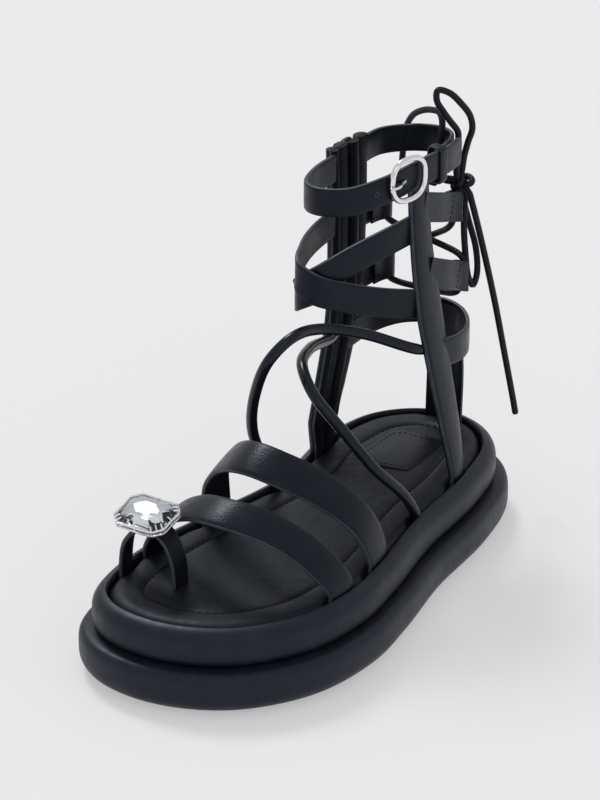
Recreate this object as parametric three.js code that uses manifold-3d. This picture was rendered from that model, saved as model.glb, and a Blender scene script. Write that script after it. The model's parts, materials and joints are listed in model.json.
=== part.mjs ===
// Gladiator sandal for the left foot, in millimetres: +X to the toe, +Y to the lateral side, +Z up.
// The origin is at the bottom centre of the sole. A platform of two stacked rolls carries a padded
// footbed, three forefoot bands and an ankle cage of flat straps with a zip, a buckle and a lace.
import * as THREE from 'three';
import { mergeVertices } from 'three/addons/utils/BufferGeometryUtils.js';
import ManifoldLibrary from 'manifold-3d';

const manifold = await ManifoldLibrary();
manifold.setup();

// ---------------------------------------------------------------- driving sizes
const GAP = 0.3;                 // between two pieces that touch
const SOLE_LENGTH = 270;
const HALF_LENGTH = SOLE_LENGTH / 2;

const OUTSOLE = { inset: 8, thickness: 3 };
const LOWER_ROLL = { inset: 0, bottom: 0.8, radius: 9.5 };
const UPPER_ROLL = { inset: 6, bottom: LOWER_ROLL.bottom + 2 * LOWER_ROLL.radius + GAP, radius: 8.2 };
const RECESS = { inset: 12.3, floor: 27 };
const FOOTBED = { inset: 15.8, bottom: RECESS.floor + GAP, top: 35.4, rimRadius: 3.2 };
const SLOT_MIDDLE = (RECESS.inset + FOOTBED.inset) / 2;
const SLOT_FLOOR = RECESS.floor + GAP;

const STRAP_THICKNESS = 2;
const CORD_RADIUS = 2.5;
const LACE_RADIUS = 1.5;

// ---------------------------------------------------------------- sole outline
// One row for each cross line of the sole: x, then how far the edge is to each side.
const OUTLINE_ROWS = [
  { x: -127, lateral: 14, medial: 33 },
  { x: -107, lateral: 31, medial: 50 },
  { x: -72, lateral: 41, medial: 55.5 },
  { x: -22, lateral: 46.5, medial: 48.5 },
  { x: 20, lateral: 55, medial: 54 },
  { x: 52, lateral: 59, medial: 58.7 },
  { x: 88, lateral: 53.5, medial: 59 },
  { x: 116, lateral: 35.5, medial: 51 },
  { x: 130, lateral: 14, medial: 35 },
];
const TOE_TIP_Y = -11;
const HEEL_TIP_Y = -9;

function makeOutlineCurve() {
  const lateral = OUTLINE_ROWS.map((row) => new THREE.Vector3(row.x, row.lateral, 0));
  const medial = OUTLINE_ROWS.map((row) => new THREE.Vector3(row.x, -row.medial, 0));
  const toeTip = new THREE.Vector3(HALF_LENGTH, TOE_TIP_Y, 0);
  const heelTip = new THREE.Vector3(-HALF_LENGTH, HEEL_TIP_Y, 0);
  const points = [heelTip, ...medial, toeTip, ...lateral.reverse()];
  return new THREE.CatmullRomCurve3(points, true, 'centripetal');
}

const OUTLINE_CURVE = makeOutlineCurve();

// Points of the outline moved inwards by inset, counter-clockwise from above, at height z.
function outlineRing(inset, z, count) {
  const ring = [];
  for (let i = 0; i < count; i += 1) {
    const at = OUTLINE_CURVE.getPointAt(i / count);
    const along = OUTLINE_CURVE.getTangentAt(i / count);
    ring.push(new THREE.Vector3(at.x - along.y * inset, at.y + along.x * inset, z));
  }
  return ring;
}

// Where the outline, moved inwards by inset, reaches a given x or y, in the part that accept takes.
function outlineCrossing(axis, value, inset, accept) {
  const samples = 400;
  const ring = outlineRing(inset, 0, samples);
  for (let i = 0; i < samples; i += 1) {
    const from = ring[i];
    const to = ring[(i + 1) % samples];
    const crosses = (from[axis] - value) * (to[axis] - value) <= 0 && from[axis] !== to[axis];
    if (crosses && accept(from)) {
      return from.clone().lerp(to, (value - from[axis]) / (to[axis] - from[axis]));
    }
  }
  throw new Error(`the sole outline does not reach ${axis} = ${value}`);
}

// The y of one side of the outline at x, where side is 1 for lateral and -1 for medial.
function edgeAt(x, side, inset) {
  return outlineCrossing('x', x, inset, (point) => Math.sign(point.y - HEEL_TIP_Y) === side).y;
}

// The x of the back of the outline at y.
const heelAt = (y, inset) => outlineCrossing('y', y, inset, (point) => point.x < 0).x;

// ---------------------------------------------------------------- mesh helpers
// A closed solid from rings of points with the same count, capped with a fan at both ends.
function loftRings(rings) {
  const count = rings[0].length;
  const positions = [];
  rings.forEach((ring) => ring.forEach((point) => positions.push(point.x, point.y, point.z)));
  const index = [];
  for (let r = 0; r + 1 < rings.length; r += 1) {
    for (let i = 0; i < count; i += 1) {
      const a = r * count + i;
      const b = r * count + ((i + 1) % count);
      index.push(a, b, b + count, a, b + count, a + count);
    }
  }
  [[0, false], [rings.length - 1, true]].forEach(([r, facesOn]) => {
    const centre = new THREE.Vector3();
    rings[r].forEach((point) => centre.addScaledVector(point, 1 / count));
    const hub = positions.length / 3;
    positions.push(centre.x, centre.y, centre.z);
    for (let i = 0; i < count; i += 1) {
      const a = r * count + i;
      const b = r * count + ((i + 1) % count);
      index.push(...(facesOn ? [a, b, hub] : [b, a, hub]));
    }
  });
  const geometry = new THREE.BufferGeometry();
  geometry.setAttribute('position', new THREE.Float32BufferAttribute(positions, 3));
  geometry.setIndex(index);
  return geometry;
}

// Turns the faces of a closed mesh outwards, whichever way it was lofted.
function facingOut(geometry) {
  const position = geometry.getAttribute('position');
  const index = geometry.getIndex().array;
  const [a, b, c] = [new THREE.Vector3(), new THREE.Vector3(), new THREE.Vector3()];
  let volume = 0;
  for (let i = 0; i < index.length; i += 3) {
    a.fromBufferAttribute(position, index[i]);
    b.fromBufferAttribute(position, index[i + 1]);
    c.fromBufferAttribute(position, index[i + 2]);
    volume += a.dot(b.cross(c));
  }
  if (volume < 0) {
    for (let i = 0; i < index.length; i += 3) {
      [index[i + 1], index[i + 2]] = [index[i + 2], index[i + 1]];
    }
  }
  return geometry;
}

function toSolid(geometry) {
  const bare = geometry.clone();
  bare.deleteAttribute('normal');
  bare.deleteAttribute('uv');
  const merged = mergeVertices(bare, 1e-4);
  return new manifold.Manifold(new manifold.Mesh({
    numProp: 3,
    vertProperties: new Float32Array(merged.getAttribute('position').array),
    triVerts: new Uint32Array(merged.getIndex().array),
  }));
}

function toGeometry(solid) {
  const mesh = solid.getMesh();
  const geometry = new THREE.BufferGeometry();
  geometry.setAttribute('position', new THREE.Float32BufferAttribute(mesh.vertProperties, 3));
  geometry.setIndex(Array.from(mesh.triVerts));
  return geometry;
}

const joinAll = (geometries) => toGeometry(
  geometries.map(toSolid).reduce((whole, next) => whole.add(next)),
);

// A flat band with a rectangular section, swept through rows of
// { centre, across, out, width }: across runs along the band's width, out away from the foot.
function bandGeometry(rows, thickness = STRAP_THICKNESS) {
  const rings = rows.map(({ centre, across, out, width }) => {
    const corner = (a, o) => centre.clone()
      .addScaledVector(across, (a * width) / 2)
      .addScaledVector(out, (o * thickness) / 2);
    return [corner(-1, -1), corner(1, -1), corner(1, 1), corner(-1, 1)];
  });
  return facingOut(loftRings(rings));
}

// A round cord through points, as a tube with flat ends.
function cordGeometry(points, radius, steps, sides = 8) {
  const section = new THREE.Shape();
  for (let i = 0; i < sides; i += 1) {
    const angle = (2 * Math.PI * i) / sides;
    const [x, y] = [radius * Math.cos(angle), radius * Math.sin(angle)];
    if (i === 0) section.moveTo(x, y);
    else section.lineTo(x, y);
  }
  section.closePath();
  const path = new THREE.CatmullRomCurve3(points, false, 'centripetal');
  const tube = new THREE.ExtrudeGeometry(section, { steps, extrudePath: path, bevelEnabled: false });
  tube.deleteAttribute('normal');
  tube.deleteAttribute('uv');
  return facingOut(mergeVertices(tube, 1e-4));
}

// ---------------------------------------------------------------- platform sole
const RING_POINTS = 64;

// Rings of the outline along a list of [inset, z] steps.
const soleRings = (steps) => steps.map(([inset, z]) => outlineRing(inset, z, RING_POINTS));

// [inset, z] steps round the outer side of a roll, between two angles from the horizontal.
function rollSteps(roll, fromDegrees, toDegrees, steps) {
  const middleZ = roll.bottom + roll.radius;
  const list = [];
  for (let i = 0; i <= steps; i += 1) {
    const angle = THREE.MathUtils.degToRad(fromDegrees + ((toDegrees - fromDegrees) * i) / steps);
    const inset = roll.inset + roll.radius * (1 - Math.cos(angle));
    list.push([inset, middleZ + roll.radius * Math.sin(angle)]);
  }
  return list;
}

function makeOutsole() {
  const { inset, thickness } = OUTSOLE;
  return facingOut(loftRings(soleRings([[inset, 0], [inset, thickness]])));
}

function makeLowerRoll() {
  const wall = OUTSOLE.inset - GAP;
  const ceiling = OUTSOLE.thickness + GAP;
  const startAngle = -THREE.MathUtils.radToDeg(Math.acos(1 - wall / LOWER_ROLL.radius));
  const side = rollSteps(LOWER_ROLL, startAngle, 90, 9);
  return facingOut(loftRings(soleRings([[wall, ceiling], ...side])));
}

function makeUpperRoll() {
  const lipDepth = RECESS.inset - UPPER_ROLL.inset;
  const endAngle = THREE.MathUtils.radToDeg(Math.acos(1 - lipDepth / UPPER_ROLL.radius));
  const side = rollSteps(UPPER_ROLL, -90, endAngle, 9);
  return facingOut(loftRings(soleRings([...side, [RECESS.inset, RECESS.floor]])));
}

function makeFootbed() {
  const { inset, bottom, top, rimRadius } = FOOTBED;
  const steps = [[inset, bottom], [inset, top - rimRadius]];
  [30, 60, 90].forEach((degrees) => {
    const angle = THREE.MathUtils.degToRad(degrees);
    steps.push([inset + rimRadius * (1 - Math.cos(angle)), top - rimRadius * (1 - Math.sin(angle))]);
  });
  return facingOut(loftRings(soleRings(steps)));
}

// ---------------------------------------------------------------- straps along routes
const toVector = (stop) => new THREE.Vector3(stop.x, stop.y, stop.z);
const routeThrough = (stops) => new THREE.CatmullRomCurve3(stops.map(toVector), false, 'centripetal');

// Rows for bandGeometry along a route, given roughly which way the band's width runs.
function rowsAlong(route, steps, widthAt, acrossHint) {
  const rows = [];
  for (let i = 0; i <= steps; i += 1) {
    const u = i / steps;
    const tangent = route.getTangentAt(u);
    const hint = acrossHint(u);
    const across = hint.clone().addScaledVector(tangent, -hint.dot(tangent)).normalize();
    const out = new THREE.Vector3().crossVectors(tangent, across).normalize();
    rows.push({ centre: route.getPointAt(u), across, out, width: widthAt(u) });
  }
  return rows;
}

// The same rows moved along their own outward direction.
const shiftRows = (rows, distance) => rows.map((row) => (
  { ...row, centre: row.centre.clone().addScaledVector(row.out, distance) }
));

// Stops straight up out of the slot beside the footbed, and how the slot runs there.
const SLOT_RISE = [0, 5, 11];
const SLOPE_REACH = 6;           // how far to each side the slot's slope is measured
const slotStops = (x, side) => SLOT_RISE.map((rise) => (
  { x, y: edgeAt(x, side, SLOT_MIDDLE), z: SLOT_FLOOR + GAP + rise }
));
const slotSlope = (x, side) => {
  const rise = edgeAt(x + SLOPE_REACH, side, SLOT_MIDDLE) - edgeAt(x - SLOPE_REACH, side, SLOT_MIDDLE);
  return rise / (2 * SLOPE_REACH);
};

// ---------------------------------------------------------------- forefoot bands
// Stops of each band's middle from the lateral slot over the foot to the medial slot.
// tip is how far the band leans down to the toe at its highest place, in degrees.
const FOREFOOT_BANDS = {
  front_strap: {
    width: 16,
    tip: 22,
    lateralFoot: 59.5,
    medialFoot: 67,
    stops: [
      { x: 67, y: 36, z: 54 },
      { x: 74, y: 20, z: 65 },
      { x: 80, y: 0, z: 70 },
      { x: 77, y: -18, z: 66.5 },
      { x: 73, y: -34, z: 56 },
    ],
  },
  instep_strap: {
    width: 17.5,
    tip: 28,
    lateralFoot: 25,
    medialFoot: 27,
    stops: [
      { x: 30, y: 37, z: 55 },
      { x: 40, y: 25, z: 70 },
      { x: 51, y: 9, z: 81 },
      { x: 52, y: -6, z: 83 },
      { x: 44, y: -22.5, z: 75.5 },
      { x: 36, y: -34.5, z: 61 },
    ],
  },
};

const FOREFOOT_STEPS = 28;

function makeForefootBand({ width, tip, lateralFoot, medialFoot, stops }) {
  const medialEnd = slotStops(medialFoot, -1).reverse();
  const route = routeThrough([...slotStops(lateralFoot, 1), ...stops, ...medialEnd]);
  const slopes = [slotSlope(lateralFoot, 1), slotSlope(medialFoot, -1)];
  const hint = (u) => {
    const lean = THREE.MathUtils.degToRad(tip) * Math.sin(Math.PI * u);
    return new THREE.Vector3(Math.cos(lean), THREE.MathUtils.lerp(...slopes, u), -Math.sin(lean));
  };
  return bandGeometry(rowsAlong(route, FOREFOOT_STEPS, () => width, hint));
}

// The loop over the big toe stands in the medial slot and on the footbed between the toes.
const TOE_LOOP = {
  width: 10,
  lean: 0.25,
  medialFoot: 90,
  stops: [
    { x: 91.7, y: -40.5, z: 54 },
    { x: 91.5, y: -31, z: 62 },
    { x: 90.5, y: -22, z: 57.5 },
    { x: 89.5, y: -17.6, z: 47 },
    { x: 89, y: -16.6, z: FOOTBED.top + 2 * GAP },
  ],
};

const TOE_LOOP_STEPS = 18;

function makeToeLoop() {
  const route = routeThrough([...slotStops(TOE_LOOP.medialFoot, -1), ...TOE_LOOP.stops]);
  const slope = slotSlope(TOE_LOOP.medialFoot, -1);
  const hint = (u) => new THREE.Vector3(1, slope * (1 - u), -TOE_LOOP.lean * Math.sin(Math.PI * u));
  return bandGeometry(rowsAlong(route, TOE_LOOP_STEPS, () => TOE_LOOP.width, hint));
}

// ---------------------------------------------------------------- gem on the toe loop
const GEM = { x: 92, y: -31, z: 63.6 + GAP, length: 23, width: 18, corner: 3.4 };
const GEM_FACING = new THREE.Vector3(0.25, 0.02, 1);
const GEM_STEPS = [[-2, 0], [0, 1.2], [0, 2.6], [-1.8, 4.4], [-4, 5.4]];  // margin, height
const SETTING = { wall: 1.2, floor: 1, depth: 3.2 };

// A rectangle with cut corners, length along Y, grown by a margin, at height z.
function gemRing(margin, z) {
  const [l, w] = [GEM.length / 2 + margin, GEM.width / 2 + margin];
  const cut = GEM.corner;
  const corners = [
    [w, -l + cut], [w, l - cut], [w - cut, l], [-w + cut, l],
    [-w, l - cut], [-w, -l + cut], [-w + cut, -l], [w - cut, -l],
  ];
  return corners.map(([x, y]) => new THREE.Vector3(x, y, z));
}

// Tips the gem to face the toe and a little outwards, and puts it on the loop.
function placeGem(geometry) {
  const facing = GEM_FACING.clone().normalize();
  const turn = new THREE.Quaternion().setFromUnitVectors(new THREE.Vector3(0, 0, 1), facing);
  return geometry.applyQuaternion(turn).translate(GEM.x, GEM.y, GEM.z);
}

function makeGemSetting() {
  const { wall, floor, depth } = SETTING;
  return placeGem(facingOut(loftRings([
    gemRing(wall, 0), gemRing(wall, depth), gemRing(GAP, depth), gemRing(GAP, floor),
  ])));
}

function makeGem() {
  const base = SETTING.floor + GAP;
  return placeGem(facingOut(loftRings(GEM_STEPS.map(([margin, z]) => gemRing(margin, base + z)))));
}

// ---------------------------------------------------------------- ankle cage: posts and bands
// Stops of the middle of each post, from the slot beside the footbed upwards.
const POSTS = {
  lateral: {
    foot: -66,
    footWidth: 13,
    stops: [
      { x: -65.5, y: 24, z: 60, width: 17 },
      { x: -65, y: 19, z: 84, width: 19 },
      { x: -64, y: 13, z: 115, width: 20 },
      { x: -64.5, y: 8, z: 145, width: 16 },
      { x: -65, y: 5.5, z: 174, width: 14.5 },
    ],
  },
  medial: {
    foot: -59,
    footWidth: 18,
    stops: [
      { x: -60.5, y: -40.3, z: 50, width: 27 },
      { x: -62.5, y: -38.5, z: 65, width: 28 },
      { x: -71, y: -37, z: 100, width: 29 },
      { x: -73, y: -36.5, z: 140, width: 29.5 },
      { x: -73, y: -37, z: 181, width: 29.5 },
    ],
  },
};
const POST_STEPS = 16;

function postRows({ foot, footWidth, stops }, side) {
  const rows = [...slotStops(foot, side).map((stop) => ({ ...stop, width: footWidth })), ...stops];
  const route = routeThrough(rows);
  const slope = slotSlope(foot, side);
  const widthAt = (u) => {
    const { z } = route.getPointAt(u);
    let r = 0;
    while (r < rows.length - 2 && z > rows[r + 1].z) r += 1;
    const share = THREE.MathUtils.clamp((z - rows[r].z) / (rows[r + 1].z - rows[r].z), 0, 1);
    return THREE.MathUtils.lerp(rows[r].width, rows[r + 1].width, share);
  };
  const hint = (u) => new THREE.Vector3(1, slope * (1 - u), 0);
  return rowsAlong(route, POST_STEPS, widthAt, hint);
}

// Stops of the middle of each band round the ankle. Every band starts and ends inside a post.
const SHAFT_BANDS = {
  // from the lateral post, high, down across the front to the medial post
  inner_cross: {
    width: 13.5,
    stops: [
      { x: -62, y: 6.5, z: 153 },
      { x: -46, y: 2, z: 151 },
      { x: -28, y: -6, z: 146 },
      { x: -13, y: -15, z: 139 },
      { x: -12, y: -23, z: 132 },
      { x: -26, y: -31, z: 125 },
      { x: -44, y: -35, z: 120 },
      { x: -62, y: -37, z: 117 },
    ],
  },
  // from the medial post, high, down across the front to the lateral post, over the first
  outer_cross: {
    width: 13.5,
    stops: [
      { x: -62, y: -37, z: 148 },
      { x: -40, y: -33.5, z: 146 },
      { x: -22, y: -28, z: 145 },
      { x: -9.5, y: -21.5, z: 142 },
      { x: -10, y: -13, z: 137 },
      { x: -22, y: -5, z: 131 },
      { x: -38, y: 3, z: 125 },
      { x: -58, y: 12.5, z: 119 },
    ],
  },
  // round the front of the top, from the medial post over the lateral post to its free end
  top_front: {
    width: 13,
    stops: [
      { x: -62, y: -36.5, z: 173 },
      { x: -40, y: -33, z: 173.5 },
      { x: -24, y: -27, z: 173.5 },
      { x: -19, y: -18, z: 174 },
      { x: -24, y: -6, z: 174.5 },
      { x: -40, y: 3.5, z: 177 },
      { x: -56, y: 7.3, z: 179 },
      { x: -68, y: 8.7, z: 179.3 },
      { x: -78, y: 8.8, z: 179 },
      { x: -86, y: 8.2, z: 178.5 },
      { x: -98, y: 6.2, z: 178 },
    ],
  },
  // round the back of the top
  top_back: {
    width: 13,
    stops: [
      { x: -60, y: 5.5, z: 176 },
      { x: -80, y: 5.5, z: 177.6 },
      { x: -98, y: 2, z: 177.6 },
      { x: -108, y: -6, z: 176.3 },
      { x: -113, y: -17, z: 174.5 },
      { x: -111, y: -29, z: 173 },
      { x: -101, y: -36.5, z: 173 },
      { x: -88, y: -37.3, z: 173 },
      { x: -72, y: -37, z: 173 },
    ],
  },
  // round the back above the heel
  low_back: {
    width: 13.5,
    stops: [
      { x: -64, y: 17.5, z: 93 },
      { x: -86, y: 16, z: 90 },
      { x: -104, y: 9, z: 88 },
      { x: -117, y: -2.5, z: 87.5 },
      { x: -121.5, y: -15, z: 87.5 },
      { x: -114, y: -30, z: 87.5 },
      { x: -98, y: -36.5, z: 87.5 },
      { x: -72, y: -37, z: 88 },
    ],
  },
};
const SHAFT_BAND_STEPS = 24;
const UPWARDS = () => new THREE.Vector3(0, 0, 1);

const shaftBandRows = ({ width, stops }) => rowsAlong(
  routeThrough(stops),
  SHAFT_BAND_STEPS,
  () => width,
  UPWARDS,
);

// The wide strip up the heel bends round it, from the slot at the back to the low band.
const HEEL_STRIP = { bottom: SLOT_FLOOR + GAP, top: 88, lateralEdge: -2, medialEdge: -21.5, steps: 6 };

function makeHeelStrip() {
  const { bottom, top, lateralEdge, medialEdge, steps } = HEEL_STRIP;
  const stops = [];
  for (let i = 0; i <= steps; i += 1) {
    const y = THREE.MathUtils.lerp(lateralEdge, medialEdge, i / steps);
    stops.push({ x: heelAt(y, SLOT_MIDDLE), y, z: (bottom + top) / 2 });
  }
  return bandGeometry(rowsAlong(routeThrough(stops), steps, () => top - bottom, UPWARDS));
}

// Tabs that reach back from the posts and hold the lace in their ends.
const TAB_WIDTH = 13.5;
const TABS = {
  lateral_high: [{ x: -66, y: 6.5, z: 161.5 }, { x: -84, y: 5.5, z: 155 }, { x: -101, y: 2, z: 149 }],
  lateral_low: [{ x: -66, y: 12, z: 131 }, { x: -84, y: 9.5, z: 123.5 }, { x: -101, y: 5, z: 116.5 }],
  medial_high: [{ x: -72, y: -36.3, z: 143 }, { x: -88, y: -37, z: 142 }, { x: -102, y: -36, z: 141 }],
  medial_low: [{ x: -72, y: -36.6, z: 112 }, { x: -88, y: -37, z: 112 }, { x: -104, y: -35.5, z: 112 }],
};
const TAB_STEPS = 5;

// ---------------------------------------------------------------- ankle cage: instep cords
// Two round cords cross over the instep, from each post to the far side of the footbed.
const CORD_FOOT_Z = 37.2;
const INSTEP_CORDS = {
  lateral_to_medial: [
    { x: -64, y: 18, z: 95 },
    { x: -50, y: 12, z: 101 },
    { x: -30, y: -1, z: 112 },
    { x: -10, y: -11, z: 119 },
    { x: 10, y: -12.5, z: 121.5 },
    { x: 19, y: -18, z: 113 },
    { x: 15, y: -28, z: 93 },
    { x: 5, y: -36, z: 70 },
    { x: -6, y: -37, z: 50 },
    { x: -12, y: -34, z: CORD_FOOT_Z },
  ],
  medial_to_lateral: [
    { x: -64, y: -37, z: 92 },
    { x: -48, y: -31.5, z: 95 },
    { x: -19, y: -22, z: 103.5 },
    { x: 2, y: -12, z: 105.5 },
    { x: 11, y: 0, z: 98 },
    { x: 9.5, y: 14, z: 84 },
    { x: 3, y: 25.5, z: 67 },
    { x: -12, y: 31.5, z: 50 },
    { x: -21, y: 32.6, z: CORD_FOOT_Z },
  ],
};
const INSTEP_CORD_STEPS = 26;

function makeAnkleCage() {
  const posts = [postRows(POSTS.lateral, 1), postRows(POSTS.medial, -1)].map((rows) => bandGeometry(rows));
  const bands = Object.values(SHAFT_BANDS).map((band) => bandGeometry(shaftBandRows(band)));
  const tabs = Object.values(TABS).map((stops) => (
    bandGeometry(rowsAlong(routeThrough(stops), TAB_STEPS, () => TAB_WIDTH, UPWARDS))
  ));
  const cords = Object.values(INSTEP_CORDS).map((stops) => (
    cordGeometry(stops.map(toVector), CORD_RADIUS, INSTEP_CORD_STEPS)
  ));
  return joinAll([...posts, ...bands, makeHeelStrip(), ...tabs, ...cords]);
}

// ---------------------------------------------------------------- buckle and keeper
// Places a shape made in a strap's own directions: X along it to the toe, Y outwards, Z up.
function placeOnStrap(geometry, { x, y, z, turn }) {
  return geometry.rotateZ(THREE.MathUtils.degToRad(turn)).translate(x, y, z);
}

const BUCKLE_SEAT = { x: -50.4, y: 6.6, z: 180, turn: -13 };
const BUCKLE = { halfLength: 10, halfHeight: 9.4, wire: 1.3 };
const BUCKLE_OUT = STRAP_THICKNESS / 2 + GAP + BUCKLE.wire;
const PRONG = { wire: 0.8, start: 1, crest: 2.4, overhang: 0.6, lift: 0.4, z: -1, steps: 8 };

// A closed ring of round wire along a rounded outline in the plane of X and Z.
function wireRing({ halfLength, halfHeight, wire }, steps = 28, sides = 8) {
  const positions = [];
  const index = [];
  for (let s = 0; s < steps; s += 1) {
    const angle = (2 * Math.PI * s) / steps;
    const [c, n] = [Math.cos(angle), Math.sin(angle)];
    const middle = new THREE.Vector3(halfLength * c, 0, halfHeight * n);
    const away = new THREE.Vector3(c / halfLength, 0, n / halfHeight).normalize();
    for (let i = 0; i < sides; i += 1) {
      const turn = (2 * Math.PI * i) / sides;
      const point = middle.clone().addScaledVector(away, wire * Math.cos(turn));
      positions.push(point.x, point.y + wire * Math.sin(turn), point.z);
      const [a, b] = [s * sides + i, s * sides + ((i + 1) % sides)];
      const [d, e] = [((s + 1) % steps) * sides + i, ((s + 1) % steps) * sides + ((i + 1) % sides)];
      index.push(a, b, e, a, e, d);
    }
  }
  const geometry = new THREE.BufferGeometry();
  geometry.setAttribute('position', new THREE.Float32BufferAttribute(positions, 3));
  geometry.setIndex(index);
  return facingOut(geometry);
}

function makeBuckleFrame() {
  return placeOnStrap(wireRing(BUCKLE).translate(0, BUCKLE_OUT, 0), BUCKLE_SEAT);
}

function makeBuckleProng() {
  const { wire, start, crest, overhang, lift, z, steps } = PRONG;
  const low = STRAP_THICKNESS / 2 + GAP + wire;
  const high = BUCKLE_OUT + BUCKLE.wire + GAP + wire;
  const tip = BUCKLE.halfLength + BUCKLE.wire;
  const stops = [
    { x: start, y: low, z }, { x: start + 3, y: low + lift, z }, { x: tip - crest, y: high, z },
    { x: tip + overhang, y: high, z },
  ];
  return placeOnStrap(cordGeometry(stops.map(toVector), wire, steps), BUCKLE_SEAT);
}

const KEEPER_SEAT = { x: -77, y: 7.2, z: 178.3, turn: 0 };
const KEEPER = { along: 5, halfDepth: 3.4, halfHeight: 7.9, wall: 1 };

// The keeper is a flat loop round the back band and the free end that lies on it.
function makeKeeper() {
  const { along, halfDepth, halfHeight, wall } = KEEPER;
  const ring = (x, grow) => [[-1, -1], [1, -1], [1, 1], [-1, 1]].map(([j, k]) => (
    new THREE.Vector3(x, j * (halfDepth + grow), k * (halfHeight + grow))
  ));
  const outer = loftRings([ring(-along / 2, wall), ring(along / 2, wall)]);
  const inner = loftRings([ring(-along, 0), ring(along, 0)]);
  const loop = toSolid(facingOut(outer)).subtract(toSolid(facingOut(inner)));
  return placeOnStrap(toGeometry(loop), KEEPER_SEAT);
}

// ---------------------------------------------------------------- zip on the medial post
const ZIP = { behindMiddle: 3.5, teethWidth: 5, teethThickness: 1.2, lowest: 40, highest: 167 };
const POST_FACE = STRAP_THICKNESS / 2;
const ROUND_SIDES = 12;          // sides of a pin, an eye or a rivet

function makeZipTeeth() {
  const away = -(POST_FACE + GAP + ZIP.teethThickness / 2);
  const rows = shiftRows(postRows(POSTS.medial, -1), away)
    .filter((row) => row.centre.z > ZIP.lowest && row.centre.z < ZIP.highest)
    .map((row) => ({
      ...row,
      centre: row.centre.clone().addScaledVector(row.across, -ZIP.behindMiddle),
      width: ZIP.teethWidth,
    }));
  return bandGeometry(rows, ZIP.teethThickness);
}

const SLIDER = { x: -76.5, face: -38.4, width: 8, thickness: 2.4, bottom: 169, top: 181 };
const HINGE_PIN = { y: SLIDER.face - SLIDER.thickness - 3, z: 176, radius: 0.8 };
const LUG = { gapBetween: 4.6, thickness: 1.3, halfHeight: 2.4, beyondPin: 1.6 };
const PULL = { eyeRadius: 2.3, eyeWidth: 3.8, neckLength: 6, width: 7.5, thickness: 1.8, length: 28 };
const PIN_PLAY = 0.4;            // between the pin and the pull's eye
const JOIN = 0.5;                // how far two joined blocks run into each other

// A block from its lowest and highest corners.
function blockBetween(low, high) {
  const size = high.map((value, i) => value - low[i]);
  const middle = high.map((value, i) => (value + low[i]) / 2);
  return new THREE.BoxGeometry(...size).translate(...middle);
}

// A round pin along X at the hinge.
function pinAtHinge(radius, length) {
  return new THREE.CylinderGeometry(radius, radius, length, ROUND_SIDES)
    .rotateZ(Math.PI / 2)
    .translate(SLIDER.x, HINGE_PIN.y, HINGE_PIN.z);
}

function makeZipSlider() {
  const { x, face, width, thickness, bottom, top } = SLIDER;
  const outerFace = face - GAP - thickness;
  const plate = blockBetween([x - width / 2, outerFace, bottom], [x + width / 2, face - GAP, top]);
  const lugs = [-1, 1].map((side) => {
    const near = x + (side * LUG.gapBetween) / 2;
    const far = near + side * LUG.thickness;
    return blockBetween(
      [Math.min(near, far), HINGE_PIN.y - LUG.beyondPin, HINGE_PIN.z - LUG.halfHeight],
      [Math.max(near, far), outerFace + JOIN, HINGE_PIN.z + LUG.halfHeight],
    );
  });
  const pin = pinAtHinge(HINGE_PIN.radius, LUG.gapBetween + LUG.thickness);
  return joinAll([plate, ...lugs, pin]);
}

function makeZipPull() {
  const { eyeRadius, eyeWidth, neckLength, width, thickness, length } = PULL;
  const { y, z, radius } = HINGE_PIN;
  const { x } = SLIDER;
  const [inner, outer] = [y + thickness / 2, y - thickness / 2];
  const neckTop = z - eyeRadius / 2;
  const tabTop = z - neckLength + JOIN;
  const neck = blockBetween([x - eyeWidth / 2, outer, z - neckLength], [x + eyeWidth / 2, inner, neckTop]);
  const tab = blockBetween([x - width / 2, outer, z - length], [x + width / 2, inner, tabTop]);
  const whole = [pinAtHinge(eyeRadius, eyeWidth), neck, tab].map(toSolid).reduce((a, b) => a.add(b));
  return toGeometry(whole.subtract(toSolid(pinAtHinge(radius + PIN_PLAY, 2 * eyeWidth))));
}

// ---------------------------------------------------------------- rivets inside the lateral post
const RIVET = { radius: 2.2, thickness: 0.8 };
const RIVETS = {
  rivet_upper: { x: -64.5, y: 6.1, z: 156 },
  rivet_lower: { x: -64.5, y: 6.1, z: 148 },
};

function makeRivet({ x, y, z }) {
  const { radius, thickness } = RIVET;
  const away = POST_FACE + GAP + thickness / 2;
  return new THREE.CylinderGeometry(radius, radius, thickness, ROUND_SIDES).translate(x, y - away, z);
}

// ---------------------------------------------------------------- lace at the back
// The lace runs down behind the end of each tab, and crosses between the high and low tabs.
const LACE_CROSSINGS = [
  { x: -106.8, y: -11.2, z: 156 },
  { x: -108, y: -24, z: 155 },
  { x: -105.3, y: -34.5, z: 149 },
  { x: -104.6, y: -36, z: 141 },
  { x: -105.4, y: -33, z: 133 },
  { x: -109, y: -15, z: 128 },
  { x: -106.8, y: 1.8, z: 123.5 },
  { x: -106.2, y: 4.5, z: 117 },
  { x: -105.5, y: 3, z: 108 },
  { x: -109, y: -15, z: 103.5 },
  { x: -107.3, y: -33, z: 105 },
  { x: -106.7, y: -35.5, z: 112 },
  { x: -107.3, y: -33, z: 120 },
  { x: -109, y: -15, z: 128.5 },
  { x: -105, y: -0.5, z: 135 },
  { x: -103.7, y: 1.5, z: 143 },
  { x: -106.4, y: 0.5, z: 151.5 },
];
const LACE_CROSSING_STEPS = 46;

const KNOT = { x: -109.5, y: -0.2, z: 158, halfLength: 7.3, halfDepth: 4.5, halfHeight: 4.6, turn: 120 };

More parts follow.
